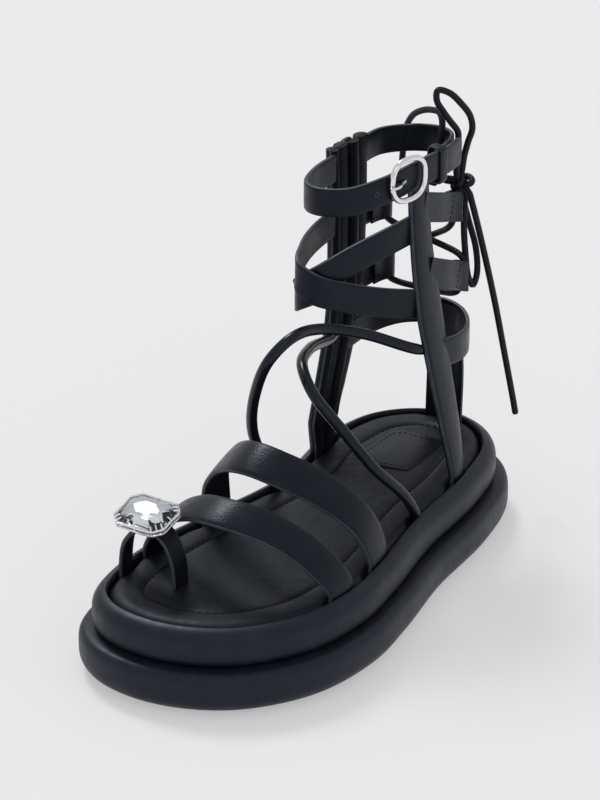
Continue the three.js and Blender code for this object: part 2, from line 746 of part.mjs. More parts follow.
// The two loops of the bow and its two free ends.
const LACE_CORDS = {
  lace_loop_up: {
    steps: 22,
    stops: [
      { x: -105.6, y: 0.4, z: 164 },
      { x: -105.3, y: 0.9, z: 172 },
      { x: -104.6, y: 1.6, z: 179 },
      { x: -104, y: 1.6, z: 184 },
      { x: -101, y: -0.3, z: 189 },
      { x: -98, y: -2.4, z: 194.2 },
      { x: -96.3, y: -5, z: 199.6 },
      { x: -98.3, y: -5.8, z: 203.6 },
      { x: -102.3, y: -2.2, z: 202 },
      { x: -107, y: 1.6, z: 196 },
      { x: -110.6, y: 3.9, z: 190 },
      { x: -112, y: 4.4, z: 183.5 },
      { x: -111.6, y: 2.6, z: 177 },
      { x: -110.6, y: 1.4, z: 170.5 },
      { x: -109.8, y: 0.9, z: 164.2 },
    ],
  },
  lace_loop_down: {
    steps: 13,
    stops: [
      { x: -112, y: 1.5, z: 152.2 },
      { x: -109.8, y: 2.5, z: 138 },
      { x: -110, y: 3.5, z: 124 },
      { x: -111.5, y: 4.5, z: 112 },
      { x: -114, y: 5.5, z: 107.5 },
      { x: -116.5, y: 6, z: 112 },
      { x: -117, y: 5, z: 124 },
      { x: -116.3, y: 1, z: 138 },
      { x: -114.2, y: -2, z: 152 },
    ],
  },
  lace_tail_long: {
    steps: 15,
    stops: [
      { x: -109.8, y: 5.2, z: 153.2 },
      { x: -112.5, y: 7.5, z: 140 },
      { x: -117, y: 10.8, z: 118 },
      { x: -121, y: 13.7, z: 97 },
      { x: -125, y: 16.5, z: 74 },
      { x: -129, y: 19.5, z: 50 },
      { x: -130.5, y: 20.5, z: 41 },
    ],
  },
  lace_tail_short: {
    steps: 18,
    stops: [
      { x: -103.6, y: -8.6, z: 161 },
      { x: -101.6, y: -7.4, z: 170 },
      { x: -101.6, y: -5.8, z: 180 },
      { x: -103.5, y: -6.2, z: 187 },
      { x: -106.5, y: -9.5, z: 190 },
      { x: -109.3, y: -15, z: 189.4 },
      { x: -112.2, y: -21.8, z: 187 },
      { x: -115, y: -28.5, z: 182.5 },
      { x: -117, y: -33, z: 175.5 },
      { x: -118, y: -35, z: 166 },
      { x: -118, y: -35.6, z: 158 },
    ],
  },
};

function makeLaceKnot() {
  const { x, y, z, halfLength, halfDepth, halfHeight, turn } = KNOT;
  return new THREE.SphereGeometry(1, 12, 8)
    .scale(halfLength, halfDepth, halfHeight)
    .rotateZ(THREE.MathUtils.degToRad(turn))
    .translate(x, y, z);
}

// ---------------------------------------------------------------- the assembly
const sandal = new THREE.Group();

const LOOKS = {
  rubber: { color: 0x1d1f24, roughness: 0.75, metalness: 0 },
  roll: { color: 0x2b2e35, roughness: 0.45, metalness: 0 },
  footbed: { color: 0x2a2d33, roughness: 0.6, metalness: 0 },
  strap: { color: 0x23262d, roughness: 0.5, metalness: 0 },
  lace: { color: 0x17181c, roughness: 0.7, metalness: 0 },
  silver: { color: 0xc8cacd, roughness: 0.2, metalness: 1 },
  crystal: { color: 0xf2f6fa, roughness: 0.02, metalness: 0 },
  zip: { color: 0x202227, roughness: 0.5, metalness: 0 },
};

function addPiece(name, geometry, look) {
  const material = new THREE.MeshStandardMaterial(LOOKS[look]);
  const mesh = new THREE.Mesh(geometry, material);
  mesh.name = name;
  sandal.add(mesh);
}

addPiece('outsole', makeOutsole(), 'rubber');
addPiece('lower_roll', makeLowerRoll(), 'roll');
addPiece('upper_roll', makeUpperRoll(), 'roll');
addPiece('footbed', makeFootbed(), 'footbed');
Object.entries(FOREFOOT_BANDS).forEach(([name, band]) => addPiece(name, makeForefootBand(band), 'strap'));
addPiece('toe_loop', makeToeLoop(), 'strap');
addPiece('gem_setting', makeGemSetting(), 'silver');
addPiece('gem', makeGem(), 'crystal');
addPiece('ankle_cage', makeAnkleCage(), 'strap');
addPiece('buckle_frame', makeBuckleFrame(), 'silver');
addPiece('buckle_prong', makeBuckleProng(), 'silver');
addPiece('keeper', makeKeeper(), 'strap');
addPiece('zip_teeth', makeZipTeeth(), 'zip');
addPiece('zip_slider', makeZipSlider(), 'zip');
addPiece('zip_pull', makeZipPull(), 'zip');
Object.entries(RIVETS).forEach(([name, rivet]) => addPiece(name, makeRivet(rivet), 'silver'));
const crossings = cordGeometry(LACE_CROSSINGS.map(toVector), LACE_RADIUS, LACE_CROSSING_STEPS);
addPiece('lace_crossings', joinAll([crossings]), 'lace');
addPiece('lace_knot', makeLaceKnot(), 'lace');
Object.entries(LACE_CORDS).forEach(([name, { stops, steps }]) => (
  addPiece(name, cordGeometry(stops.map(toVector), LACE_RADIUS, steps), 'lace')
));

export default sandal;
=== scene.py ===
"""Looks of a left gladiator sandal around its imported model: +X to the toe, +Y lateral, +Z up.
Tables and shapes are in millimetres, and every mesh is scaled to metres as it is made."""
import bisect
import json
import math
from collections import namedtuple

import bmesh
import bpy
from mathutils import Matrix, Vector


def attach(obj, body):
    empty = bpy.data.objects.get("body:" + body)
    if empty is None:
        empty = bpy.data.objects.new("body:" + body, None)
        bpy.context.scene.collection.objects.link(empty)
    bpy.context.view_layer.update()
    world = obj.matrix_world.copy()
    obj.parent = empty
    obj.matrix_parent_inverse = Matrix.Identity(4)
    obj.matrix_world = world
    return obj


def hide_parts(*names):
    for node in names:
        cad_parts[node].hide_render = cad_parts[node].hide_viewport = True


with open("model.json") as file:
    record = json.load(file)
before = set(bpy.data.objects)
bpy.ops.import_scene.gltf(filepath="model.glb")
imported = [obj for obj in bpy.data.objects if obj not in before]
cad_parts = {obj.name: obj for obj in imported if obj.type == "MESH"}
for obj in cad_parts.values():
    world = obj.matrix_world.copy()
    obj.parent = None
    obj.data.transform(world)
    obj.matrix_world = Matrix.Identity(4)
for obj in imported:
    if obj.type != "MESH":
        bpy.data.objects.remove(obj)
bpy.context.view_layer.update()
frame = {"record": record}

MM = 0.001
UP = Vector((0, 0, 1))
RECORD = frame["record"]
SLOT_OF = {row["node"]: row["material_slot"] for row in RECORD["subparts"]}
BODY_OF = {node: body for body, nodes in RECORD["behaviour"]["bodies"].items() for node in nodes}


# ---- curves
def span_point(p0, p1, p2, p3, t):
    """A point between p1 and p2 of a centripetal curve through four points."""
    d0 = max((p1 - p0).length ** 0.5, 1e-4)
    d1 = max((p2 - p1).length ** 0.5, 1e-4)
    d2 = max((p3 - p2).length ** 0.5, 1e-4)
    leave = ((p1 - p0) / d0 - (p2 - p0) / (d0 + d1) + (p2 - p1) / d1) * d1
    reach = ((p2 - p1) / d1 - (p3 - p1) / (d1 + d2) + (p3 - p2) / d2) * d1
    bend = 3 * (p2 - p1) - 2 * leave - reach
    turn = 2 * (p1 - p2) + leave + reach
    return p1 + leave * t + bend * t ** 2 + turn * t ** 3


class Route:
    """A smooth curve through stops, walked by its own length from 0 to 1."""

    def __init__(self, stops, closed=False, per_span=24):
        points = [Vector(stop) for stop in stops]
        self.closed = closed
        if closed:
            points = [points[-1], *points, points[0], points[1]]
        else:
            points = [2 * points[0] - points[1], *points, 2 * points[-1] - points[-2]]
        self.dense = []
        for p0, p1, p2, p3 in zip(points, points[1:], points[2:], points[3:]):
            self.dense += [span_point(p0, p1, p2, p3, i / per_span) for i in range(per_span)]
        self.dense.append(points[-2].copy())
        self.walked = [0.0]
        for a, b in zip(self.dense, self.dense[1:]):
            self.walked.append(self.walked[-1] + (b - a).length)
        self.length = self.walked[-1]

    def at(self, u):
        u = u % 1.0 if self.closed and u != 1.0 else min(max(u, 0.0), 1.0)
        target = u * self.length
        i = min(max(bisect.bisect_right(self.walked, target), 1), len(self.walked) - 1)
        before, after = self.walked[i - 1], self.walked[i]
        share = (target - before) / max(after - before, 1e-9)
        return self.dense[i - 1].lerp(self.dense[i], share)

    def tangent(self, u):
        step = 2e-3
        return (self.at(u + step) - self.at(u - step)).normalized()


def lerp(a, b, t):
    return a + (b - a) * t


def bent(value, power):
    """A signed power, which squares off a circle when it is below 1."""
    return math.copysign(abs(value) ** power, value)


def smooth(t):
    """0 to 1 with flat ends."""
    t = min(max(t, 0.0), 1.0)
    return t * t * (3 - 2 * t)


def circle(count, start=0.0):
    """(cosine, sine) at even steps round a circle. Start is a share of a step."""
    angles = [2 * math.pi * (k + start) / count for k in range(count)]
    return [(math.cos(angle), math.sin(angle)) for angle in angles]


def table_value(rows, key):
    """The value at key in rows of (key, value), straight between them."""
    keys = [row[0] for row in rows]
    i = min(max(bisect.bisect_right(keys, key), 1), len(rows) - 1)
    (k0, v0), (k1, v1) = rows[i - 1], rows[i]
    return lerp(v0, v1, min(max((key - k0) / (k1 - k0), 0.0), 1.0))


# ---- sole outline
OUTLINE_ROWS = [  # x, how far the edge is to the lateral side, and to the medial side
    (-127, 14, 33),
    (-107, 31, 50),
    (-72, 41, 55.5),
    (-22, 46.5, 48.5),
    (20, 55, 54),
    (52, 59, 58.7),
    (88, 53.5, 59),
    (116, 35.5, 51),
    (130, 14, 35),
]
TOE_TIP = (135, -11, 0)
HEEL_TIP = (-135, -9, 0)
RING_POINTS = 384


def outline_route():
    medial = [(x, -reach, 0) for x, _, reach in OUTLINE_ROWS]
    lateral = [(x, reach, 0) for x, reach, _ in reversed(OUTLINE_ROWS)]
    return Route([HEEL_TIP, *medial, TOE_TIP, *lateral], closed=True)


OUTLINE = outline_route()


def outline_point(u, inset, z):
    """The outline at u, moved inwards, with its direction along the edge."""
    at, along = OUTLINE.at(u), OUTLINE.tangent(u)
    return Vector((at.x - along.y * inset, at.y + along.x * inset, z)), along


def outline_ring(inset, z, count=RING_POINTS):
    return [outline_point(i / count, inset, z)[0] for i in range(count)]


def outline_share(x, side, inset=0.0):
    """Where along the outline, from 0 to 1, one side of it reaches x. Side is 1 for lateral."""
    count = 800
    best, best_gap = 0.0, 1e9
    for i in range(count):
        point, _ = outline_point(i / count, inset, 0)
        on_side = (point.y - HEEL_TIP[1]) * side > 0
        if on_side and abs(point.x - x) < best_gap:
            best, best_gap = i / count, abs(point.x - x)
    return best


def edge_y(x, side, inset):
    return outline_point(outline_share(x, side, inset), inset, 0)[0].y


# ---- shapes
Row = namedtuple("Row", "centre across out width")


class Shape:
    """Points, faces, a look for each face and a UV for each point, before they become a piece."""

    def __init__(self):
        self.points = []
        self.faces = []
        self.looks = []
        self.uvs = []

    def add(self, points, faces, looks=None, uvs=None):
        base = len(self.points)
        self.points += points
        self.faces += [tuple(base + i for i in face) for face in faces]
        self.looks += looks or [0] * len(faces)
        self.uvs += uvs or [(0.0, 0.0)] * len(points)

    def loft(self, rings, looks=None, closed=False, uvs=None):
        """Joins rings of points, each of the same count, into a skin with closed ends."""
        count, total = len(rings[0]), len(rings)
        points = [point for ring in rings for point in ring]
        faces, face_looks = [], []
        for r in range(total if closed else total - 1):
            after = (r + 1) % total
            for i in range(count):
                j = (i + 1) % count
                faces.append((r * count + i, r * count + j, after * count + j, after * count + i))
                face_looks.append(looks[i] if looks else 0)
        flat_uvs = [uv for ring in uvs for uv in ring] if uvs else [(0.0, 0.0)] * len(points)
        if not closed:
            for r in (0, total - 1):
                hub = len(points)
                points.append(sum(rings[r], Vector()) / count)
                flat_uvs.append(flat_uvs[r * count])
                for i in range(count):
                    faces.append((r * count + i, r * count + (i + 1) % count, hub))
                    face_looks.append(looks[0] if looks else 0)
        self.add(points, faces, face_looks, flat_uvs)


def finish_piece(shape, looks, node, name=None, slot=None, sharp=35):
    """Makes a piece that stands for a CAD node and has that node's body."""
    name = name or f"{node}_visual"
    mesh = bpy.data.meshes.new(name)
    mesh.from_pydata([point * MM for point in shape.points], [], shape.faces)
    layer = mesh.uv_layers.new(name="UVMap")
    for loop in mesh.loops:
        layer.data[loop.index].uv = shape.uvs[loop.vertex_index]
    for look in looks:
        mesh.materials.append(look)
    for polygon, look in zip(mesh.polygons, shape.looks):
        polygon.material_index = look
        polygon.use_smooth = sharp > 0
    work = bmesh.new()
    work.from_mesh(mesh)
    bmesh.ops.recalc_face_normals(work, faces=work.faces)
    work.to_mesh(mesh)
    work.free()
    if sharp > 0:
        mesh.set_sharp_from_angle(angle=math.radians(sharp))
    made = bpy.data.objects.new(name, mesh)
    bpy.context.scene.collection.objects.link(made)
    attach(made, BODY_OF[node])
    slot or SLOT_OF[node]
    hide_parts(node)
    return made


EDGE_DEGREES = (60, 30, 0, -30, -60)  # steps round each edge of a strap, from its outer face
ACROSS_STEPS = 8
CAP_DEGREES = (35, 65, 85)  # steps over a tube's rounded end


def strap_section(width, thickness, crown, bow):
    """Points (across, out) round a strap's section, and 1 for each face on its edges."""
    half, deep = width / 2, thickness / 2
    edge = min(0.26 * thickness, 0.2 * width)
    points, looks = [], []
    for side in (1, -1):
        for i in range(ACROSS_STEPS + 1):
            points.append((side * lerp(edge - half, half - edge, i / ACROSS_STEPS), side * deep))
            looks.append(0)
        for degrees in EDGE_DEGREES:
            angle = math.radians(degrees)
            points.append((side * (half - edge + edge * math.cos(angle)), side * deep * math.sin(angle)))
            looks.append(int(degrees != EDGE_DEGREES[-1]))
    shaped = []
    for a, o in points:
        part = 1 - (a / half) ** 2
        lift = (crown if o > 0 else 0.35 * crown) * part
        shaped.append((a, o + lift * abs(o) / deep - bow * (1 - part)))
    return shaped, looks


def add_band(shape, rows, thickness, crown=0.15, bow=0.0, closed=False):
    rings, uvs, walked = [], [], 0.0
    for i, row in enumerate(rows):
        section, looks = strap_section(row.width, thickness, crown, bow)
        rings.append([row.centre + row.across * a + row.out * o for a, o in section])
        if i:
            walked += (row.centre - rows[i - 1].centre).length
        uvs.append([(walked, a) for a, _ in section])
    shape.loft(rings, looks, closed, uvs)


def rows_along(route, steps, width_at, across_hint, flip=False):
    """Rows of a band along a route, given roughly which way its width runs."""
    rows = []
    for i in range(steps + 1):
        u = i / steps
        tangent, hint = route.tangent(u), across_hint(u)
        across = (hint - tangent * hint.dot(tangent)).normalized()
        out = tangent.cross(across).normalized()
        rows.append(Row(route.at(u), across, -out if flip else out, width_at(u)))
    return rows


def shift_rows(rows, across=0.0, out=0.0):
    """The same rows moved along their own across and out directions."""
    return [row._replace(centre=row.centre + row.across * across + row.out * out) for row in rows]


def add_tube(shape, points, radius, sides=14, closed=False, taper=None):
    """A round tube through close points, with rounded ends. Taper gives a radius share at 0 to 1."""
    count = len(points)
    tangents = []
    for i in range(count):
        if closed:
            step = points[(i + 1) % count] - points[i - 1]
        else:
            step = points[min(i + 1, count - 1)] - points[max(i - 1, 0)]
        tangents.append(step.normalized())
    side = tangents[0].orthogonal().normalized()
    sides_along = []
    for tangent in tangents:
        side = (side - tangent * side.dot(tangent)).normalized()
        sides_along.append(side)
    if closed:
        turn = sides_along[-1].cross(sides_along[0]).dot(tangents[0])
        twist = math.copysign(sides_along[-1].angle(sides_along[0]), turn)
        for i in range(count):
            sides_along[i] = Matrix.Rotation(twist * i / count, 3, tangents[i]) @ sides_along[i]
    sizes = [radius * (taper(i / (count - 1)) if taper else 1.0) for i in range(count)]

    def ring(centre, i, size):
        other = tangents[i].cross(sides_along[i])
        return [centre + (sides_along[i] * c + other * s) * size for c, s in circle(sides)]

    rings, uvs, walked = [], [], 0.0
    for i in range(count):
        if i:
            walked += (points[i] - points[i - 1]).length
        rings.append(ring(points[i], i, sizes[i]))
        uvs.append([(walked, k / sides) for k in range(sides)])
    if not closed:
        for end, sign in ((0, -1), (count - 1, 1)):
            cap = []
            for degrees in CAP_DEGREES:
                angle = math.radians(degrees)
                centre = points[end] + tangents[end] * (sign * 0.6 * sizes[end] * math.sin(angle))
                cap.append(ring(centre, end, sizes[end] * math.cos(angle)))
            rings = cap[::-1] + rings if sign < 0 else rings + cap
            uvs = [uvs[0]] * len(cap) + uvs if sign < 0 else uvs + [uvs[-1]] * len(cap)
    shape.loft(rings, None, closed, uvs)


def add_bead(shape, centre, axes, halves, power=1.0, around=8, rows=5):
    """A rounded lump along three axes: power 1 is an ellipsoid, and a low power is a block."""
    rings = []
    for r in range(1, rows + 1):
        polar = math.pi * r / (rows + 1)
        wide, high = bent(math.sin(polar), power), bent(math.cos(polar), power)
        ring = []
        for c, s in circle(around, 0.5):
            spread = axes[0] * (bent(c, power) * halves[0]) + axes[1] * (bent(s, power) * halves[1])
            ring.append(centre + spread * wide + axes[2] * (high * halves[2]))
        rings.append(ring)
    shape.loft(rings)


def add_stitches(shape, places, length=2.2, radius=0.32):
    """Short threads lying at (centre, along, out) places."""
    for centre, along, out in places:
        axes = (along, out.cross(along).normalized(), out)
        add_bead(shape, centre, axes, (length / 2, radius, radius * 0.8))


# ---- materials
COOL_SHINE = (0.74, 0.84, 1.0, 1.0)
NOISE_LOW, NOISE_HIGH = 0.3, 0.7  # the stretch of a noise's values that a look makes use of


class Look:
    """A material with nodes that vary it over its surface. Sizes and depths are in millimetres."""

    def __init__(self, name, color, roughness, metallic=0.0, specular=0.5):
        self.material = bpy.data.materials.new(name)
        self.material.use_nodes = True
        self.nodes = self.material.node_tree.nodes
        self.links = self.material.node_tree.links
        self.inputs = self.nodes["Principled BSDF"].inputs
        self.inputs["Base Color"].default_value = (*color, 1)
        self.inputs["Roughness"].default_value = roughness
        self.inputs["Metallic"].default_value = metallic
        self.inputs["Specular IOR Level"].default_value = specular
        if not metallic:
            self.inputs["Specular Tint"].default_value = COOL_SHINE
        self.place = self.nodes.new("ShaderNodeTexCoord").outputs["Object"]
        self.normal = None

    def add(self, kind, inputs, **settings):
        """A node with these settings, whose inputs are linked to a socket or set to a value."""
        node = self.nodes.new(f"ShaderNode{kind}")
        for name, value in settings.items():
            setattr(node, name, value)
        for name, value in inputs.items():
            if isinstance(value, bpy.types.NodeSocket):
                self.links.new(value, node.inputs[name])
            else:
                node.inputs[name].default_value = value
        return node

    def noise(self, size, detail=4.0):
        """Noise whose lumps are about this size."""
        inputs = {"Scale": 1 / (size * MM), "Detail": detail, "Vector": self.place}
        return self.add("TexNoise", inputs).outputs["Fac"]

    def tint(self, size, dark, light):
        """Changes the colour slowly, in patches of this size."""
        ramp = self.add("ValToRGB", {"Fac": self.noise(size)})
        first, last = ramp.color_ramp.elements
        first.position, last.position = NOISE_LOW, NOISE_HIGH
        first.color, last.color = (*dark, 1), (*light, 1)
        self.links.new(ramp.outputs["Color"], self.inputs["Base Color"])

    def shine(self, size, smoothest, roughest, detail=6.0):
        """Changes the roughness, in patches of this size."""
        spread = self.add("MapRange", {
            "Value": self.noise(size, detail), "From Min": NOISE_LOW, "From Max": NOISE_HIGH,
            "To Min": smoothest, "To Max": roughest,
        })
        self.links.new(spread.outputs["Result"], self.inputs["Roughness"])

    def bump(self, height, depth):
        """Adds bump, whose full height is this depth, on the bump that is there."""
        inputs = {"Strength": 1.0, "Distance": depth * MM, "Height": height}
        if self.normal:
            inputs["Normal"] = self.normal
        self.normal = self.add("Bump", inputs).outputs["Normal"]
        self.links.new(self.normal, self.inputs["Normal"])


def leather(name, dark, light, rough, cell, depth, swell=0.0, specular=0.5):
    """Leather with a fine pebbled grain of cell millimetres, slow colour change and uneven shine."""
    look = Look(name, light, rough[0], specular=specular)
    if swell:
        look.bump(look.noise(14.0, 2.0), swell)
    inputs = {"Scale": 1 / (cell * MM), "Smoothness": 0.6, "Vector": look.place}
    cells = look.add("TexVoronoi", inputs, feature="SMOOTH_F1")
    look.bump(cells.outputs["Distance"], -depth)
    look.bump(look.noise(0.35, 3.0), depth * 0.6)
    look.tint(9.0, dark, light)
    look.shine(4.0, *rough)
    return look.material


def braided(name, dark, light, rough, pitch, depth, specular=0.25):
    """A round cord with fine strands that wind both ways, from its own length and turn."""
    look = Look(name, light, rough, specular=specular)
    place = look.nodes.new("ShaderNodeTexCoord").outputs["UV"]
    for turns in (2, -2):
        winding = (2 * math.pi / pitch, 2 * math.pi * turns, 0)
        phase = look.add("VectorMath", {0: place, 1: winding}, operation="DOT_PRODUCT")
        wave = look.add("Math", {0: phase.outputs["Value"]}, operation="SINE")
        look.bump(wave.outputs[0], depth)
    look.tint(3.0, dark, light)
    return look.material


def metal(name, color, rough):
    look = Look(name, color, rough, metallic=1.0)
    look.shine(1.2, rough * 0.6, rough * 1.8)
    return look.material


def ribbed_rubber():
    look = Look("outsole_rubber", (0.012, 0.0125, 0.015), 0.7)
    inputs = {"Scale": 60, "Distortion": 0, "Vector": look.place}
    ribs = look.add("TexWave", inputs, wave_type="BANDS", bands_direction="X")
    look.bump(ribs.outputs["Fac"], 0.5)
    look.bump(look.noise(0.5), 0.05)
    look.tint(12.0, (0.009, 0.0095, 0.011), (0.015, 0.0155, 0.018))
    return look.material


def crystal():
    look = Look("gem_crystal", (0.97, 0.985, 1.0), 0.01)
    look.inputs["Transmission Weight"].default_value = 1.0
    look.inputs["IOR"].default_value = 1.6
    look.shine(6.0, 0.0, 0.02, 4.0)
    return look.material


def woven_tape():
    look = Look("zip_tape", (0.012, 0.0125, 0.014), 0.85, specular=0.3)
    weave = look.add("TexChecker", {"Scale": 1 / (0.5 * MM), "Vector": look.place})
    look.bump(weave.outputs["Fac"], 0.08)
    look.tint(5.0, (0.008, 0.0085, 0.01), (0.014, 0.0145, 0.017))
    return look.material


# Each leather has its dark and light colour, its least and most roughness, and its grain's
# size and depth.
STRAP = leather(
    "strap_leather", (0.0042, 0.005, 0.008), (0.0068, 0.0079, 0.0122), (0.27, 0.4), 0.75, 0.07,
    specular=0.22,
)
# Strap edges: lighter than the faces, partly a lighter edge finish and partly a painted highlight along
# the rounded edges, where they would catch the light.
EDGE_AND_PAINTED_HIGHLIGHT = leather(
    "strap_edge", (0.03, 0.033, 0.044), (0.06, 0.065, 0.082), (0.38, 0.5), 0.6, 0.02, specular=0.35,
)
ROLL = leather(
    "platform_wrap", (0.0082, 0.0094, 0.015), (0.012, 0.0136, 0.0207), (0.38, 0.48), 0.55, 0.018,
    swell=0.14, specular=0.27,
)
BED = leather(
    "footbed_cover", (0.0058, 0.0067, 0.0104), (0.0087, 0.0099, 0.0147), (0.42, 0.55), 0.7, 0.03,
    swell=0.2, specular=0.2,
)
PATCH = leather(
    "heel_patch", (0.0048, 0.0052, 0.0072), (0.0066, 0.0071, 0.0096), (0.3, 0.42), 0.6, 0.02,
    specular=0.2,
)
LINING = leather(
    "post_lining", (0.0035, 0.0039, 0.0055), (0.0056, 0.0062, 0.0086), (0.42, 0.55), 0.7, 0.03,
    specular=0.13,
)
CORD = leather(
    "cord_leather", (0.005, 0.0058, 0.009), (0.0076, 0.0087, 0.013), (0.2, 0.3), 0.6, 0.02,
    specular=0.3,
)
LACE = braided("lace_cord", (0.005, 0.0054, 0.0072), (0.009, 0.0096, 0.0128), 0.45, 1.6, 0.05)
THREAD = braided("thread", (0.003, 0.0033, 0.0045), (0.0065, 0.007, 0.009), 0.6, 0.8, 0.03, 0.12)
SILVER = metal("silver_metal", (0.83, 0.83, 0.85), 0.12)
FOIL = metal("gem_foil", (0.66, 0.68, 0.72), 0.16)
BLACK_METAL = metal("zip_metal", (0.05, 0.052, 0.058), 0.3)
GREY_METAL = metal("pull_tip_metal", (0.3, 0.31, 0.33), 0.34)
RUBBER = ribbed_rubber()
TAPE = woven_tape()
TEETH = leather("zip_plastic", (0.012, 0.0125, 0.015), (0.022, 0.023, 0.027), (0.3, 0.42), 0.5, 0.01)
GLASS = crystal()


# ---- pieces of one band or one tube
def band_piece(rows, thickness, crown=0.15, bow=0.0, looks=None,
               node="ankle_cage", name=None, closed=False):
    """A strap made from its rows. Its looks are those of its faces and of its edges, whose lighter colour
    is partly a painted highlight.
    """
    shape = Shape()
    add_band(shape, rows, thickness, crown, bow, closed)
    finish_piece(shape, looks or [STRAP, EDGE_AND_PAINTED_HIGHLIGHT], node, name)


def tube_piece(points, radius, look, node, name=None, **tube):
    shape = Shape()
    add_tube(shape, points, radius, **tube)
    return finish_piece(shape, [look], node, name)


# ---- camera
CAMERA_AT = Vector((1.15558, 0.73420, 0.71363))
AIM = Vector((-0.004, -0.017, 0.086))
LENS = 156.0
ROLL_DEGREES = 0.15


def make_camera():
    data = bpy.data.cameras.new("camera")
    data.lens = LENS
    data.sensor_width = 36
    data.clip_end = 30
    camera = bpy.data.objects.new("camera", data)
    camera.location = CAMERA_AT
    look = (AIM - CAMERA_AT).to_track_quat("-Z", "Y").to_matrix().to_4x4()
    turned = look @ Matrix.Rotation(math.radians(ROLL_DEGREES), 4, "Z")
    camera.rotation_euler = turned.to_euler()
    bpy.context.scene.collection.objects.link(camera)
    bpy.context.scene.camera = camera


make_camera()


# ---- free lace: bow and ends
LACE_RADIUS = 1.5
LACE_CORDS = {  # each one's stops, what is at its far end, and how it lies
    "lace_loop_up": {
        "stops": [
            (-105.6, 0.4, 164), (-105.3, 0.9, 172), (-104.6, 1.6, 179), (-104, 1.6, 184),
            (-101, -0.3, 189), (-98, -2.4, 194.2), (-96.3, -5, 199.6), (-98.3, -5.8, 203.6),
            (-102.3, -2.2, 202), (-107, 1.6, 196), (-110.6, 3.9, 190), (-112, 4.4, 183.5),
            (-111.6, 2.6, 177), (-110.6, 1.4, 170.5), (-109.8, 0.9, 164.2),
        ],
        "far_end": "object",
        "lay": "loose",
    },
    "lace_loop_down": {
        "stops": [
            (-112, 1.5, 152.2), (-109.8, 2.5, 138), (-110, 3.5, 124), (-111.5, 4.5, 112),
            (-114, 5.5, 107.5), (-116.5, 6, 112), (-117, 5, 124), (-116.3, 1, 138),
            (-114.2, -2, 152),
        ],
        "far_end": "object",
        "lay": "hanging",
    },
    "lace_tail_long": {
        "stops": [
            (-109.8, 5.2, 153.2), (-112.5, 7.5, 140), (-117, 10.8, 118), (-121, 13.7, 97),
            (-125, 16.5, 74), (-129, 19.5, 50), (-130.5, 20.5, 41),
        ],
        "far_end": "bare",
        "lay": "hanging",
    },
    "lace_tail_short": {
        "stops": [
            (-103.6, -8.6, 161), (-101.6, -7.4, 170), (-101.6, -5.8, 180), (-103.5, -6.2, 187),
            (-106.5, -9.5, 190), (-109.3, -15, 189.4), (-112.2, -21.8, 187), (-115, -28.5, 182.5),
            (-117, -33, 175.5), (-118, -35, 166), (-118, -35.6, 158),
        ],
        "far_end": "bare",
        "lay": "hanging",
    },
}
LACE_STEPS = 90


def cord_points(stops, steps):
    route = Route(stops)
    return [route.at(i / steps) for i in range(steps + 1)]


KNOT_MIDDLE = Vector((-109.5, -0.2, 158))
KNOT_ALONG = Vector((-0.5, 0.866, 0))
KNOT_DEEP = Vector((0.866, 0.5, 0))
KNOT_STEPS = 120


def knot_point(along, deep, up):
    return KNOT_MIDDLE + KNOT_ALONG * along + KNOT_DEEP * deep + UP * up


def make_knot():
    """A closed trefoil of lace, the wrap round its middle, and short leads to the loops and ends."""
    shape = Shape()
    trefoil, wrap = [], []
    for i in range(KNOT_STEPS):
        t = 2 * math.pi * i / KNOT_STEPS
        along = 2.15 * (math.sin(t) + 1.9 * math.sin(2 * t))
        up = 1.05 * (math.cos(t) - 1.9 * math.cos(2 * t))
        trefoil.append(knot_point(along, 2.1 * math.sin(3 * t), up))
        wrap.append(knot_point(0.9 * math.sin(2 * t), 3.2 * math.cos(t), 3.1 * math.sin(t)))
    for line in (trefoil, wrap):
        add_tube(shape, line, LACE_RADIUS, 12, closed=True)
    for cord in LACE_CORDS.values():
        route = Route(cord["stops"])
        ends = [(route.at(0), -route.tangent(0.01))]
        if cord["far_end"] == "object":
            ends.append((route.at(1), route.tangent(0.99)))
        for at, onward in ends:
            middle = at.lerp(KNOT_MIDDLE, 0.45) + onward * 1.2
            add_tube(shape, cord_points([at, middle, at.lerp(KNOT_MIDDLE, 0.9)], 14), LACE_RADIUS, 12)
    return finish_piece(shape, [LACE], "lace_knot")


def make_free_laces(knot):
    for name, cord in LACE_CORDS.items():
        points = cord_points(cord["stops"], LACE_STEPS)
        made = tube_piece(points, LACE_RADIUS, LACE, name)
        length = Route(cord["stops"]).length


make_free_laces(make_knot())


# ---- platform
LOWER = {"inset": 0.0, "bottom": 0.8, "radius": 9.5, "pressed": 1}
UPPER = {"inset": 6.0, "bottom": 20.1, "radius": 8.2, "pressed": -1}
RECESS_INSET, RECESS_FLOOR = 12.3, 27.0
SLOT_MIDDLE, SLOT_FLOOR = 14.05, 27.6
OUTSOLE_INSET, OUTSOLE_THICKNESS = 8.0, 3.0
ROLL_FULLNESS = 0.84  # below 1 a roll is fuller than round
GROOVE_FULLNESS = 0.42  # fuller still where the two rolls press on each other
ROLL_STEPS = 26
SEAM_X = {"lower_roll": -27.0, "upper_roll": -29.0}
SEAM = {"width": 2.6, "thickness": 0.9}


def roll_steps(roll, start, end, steps):
    """(inset, z, angle) round a roll's outer side, between two angles from the horizontal."""
    middle = roll["bottom"] + roll["radius"]
    rows = []
    for i in range(steps + 1):
        angle = math.radians(lerp(start, end, i / steps))
        fullness = GROOVE_FULLNESS if angle * roll["pressed"] > 0 else ROLL_FULLNESS
        inset = roll["inset"] + roll["radius"] * (1 - bent(math.cos(angle), fullness))
        rows.append((inset, middle + roll["radius"] * bent(math.sin(angle), fullness), angle))
    return rows


def sole_loft(node, steps, look):
    shape = Shape()
    shape.loft([outline_ring(inset, z) for inset, z in steps])
    finish_piece(shape, [look], node, sharp=50)


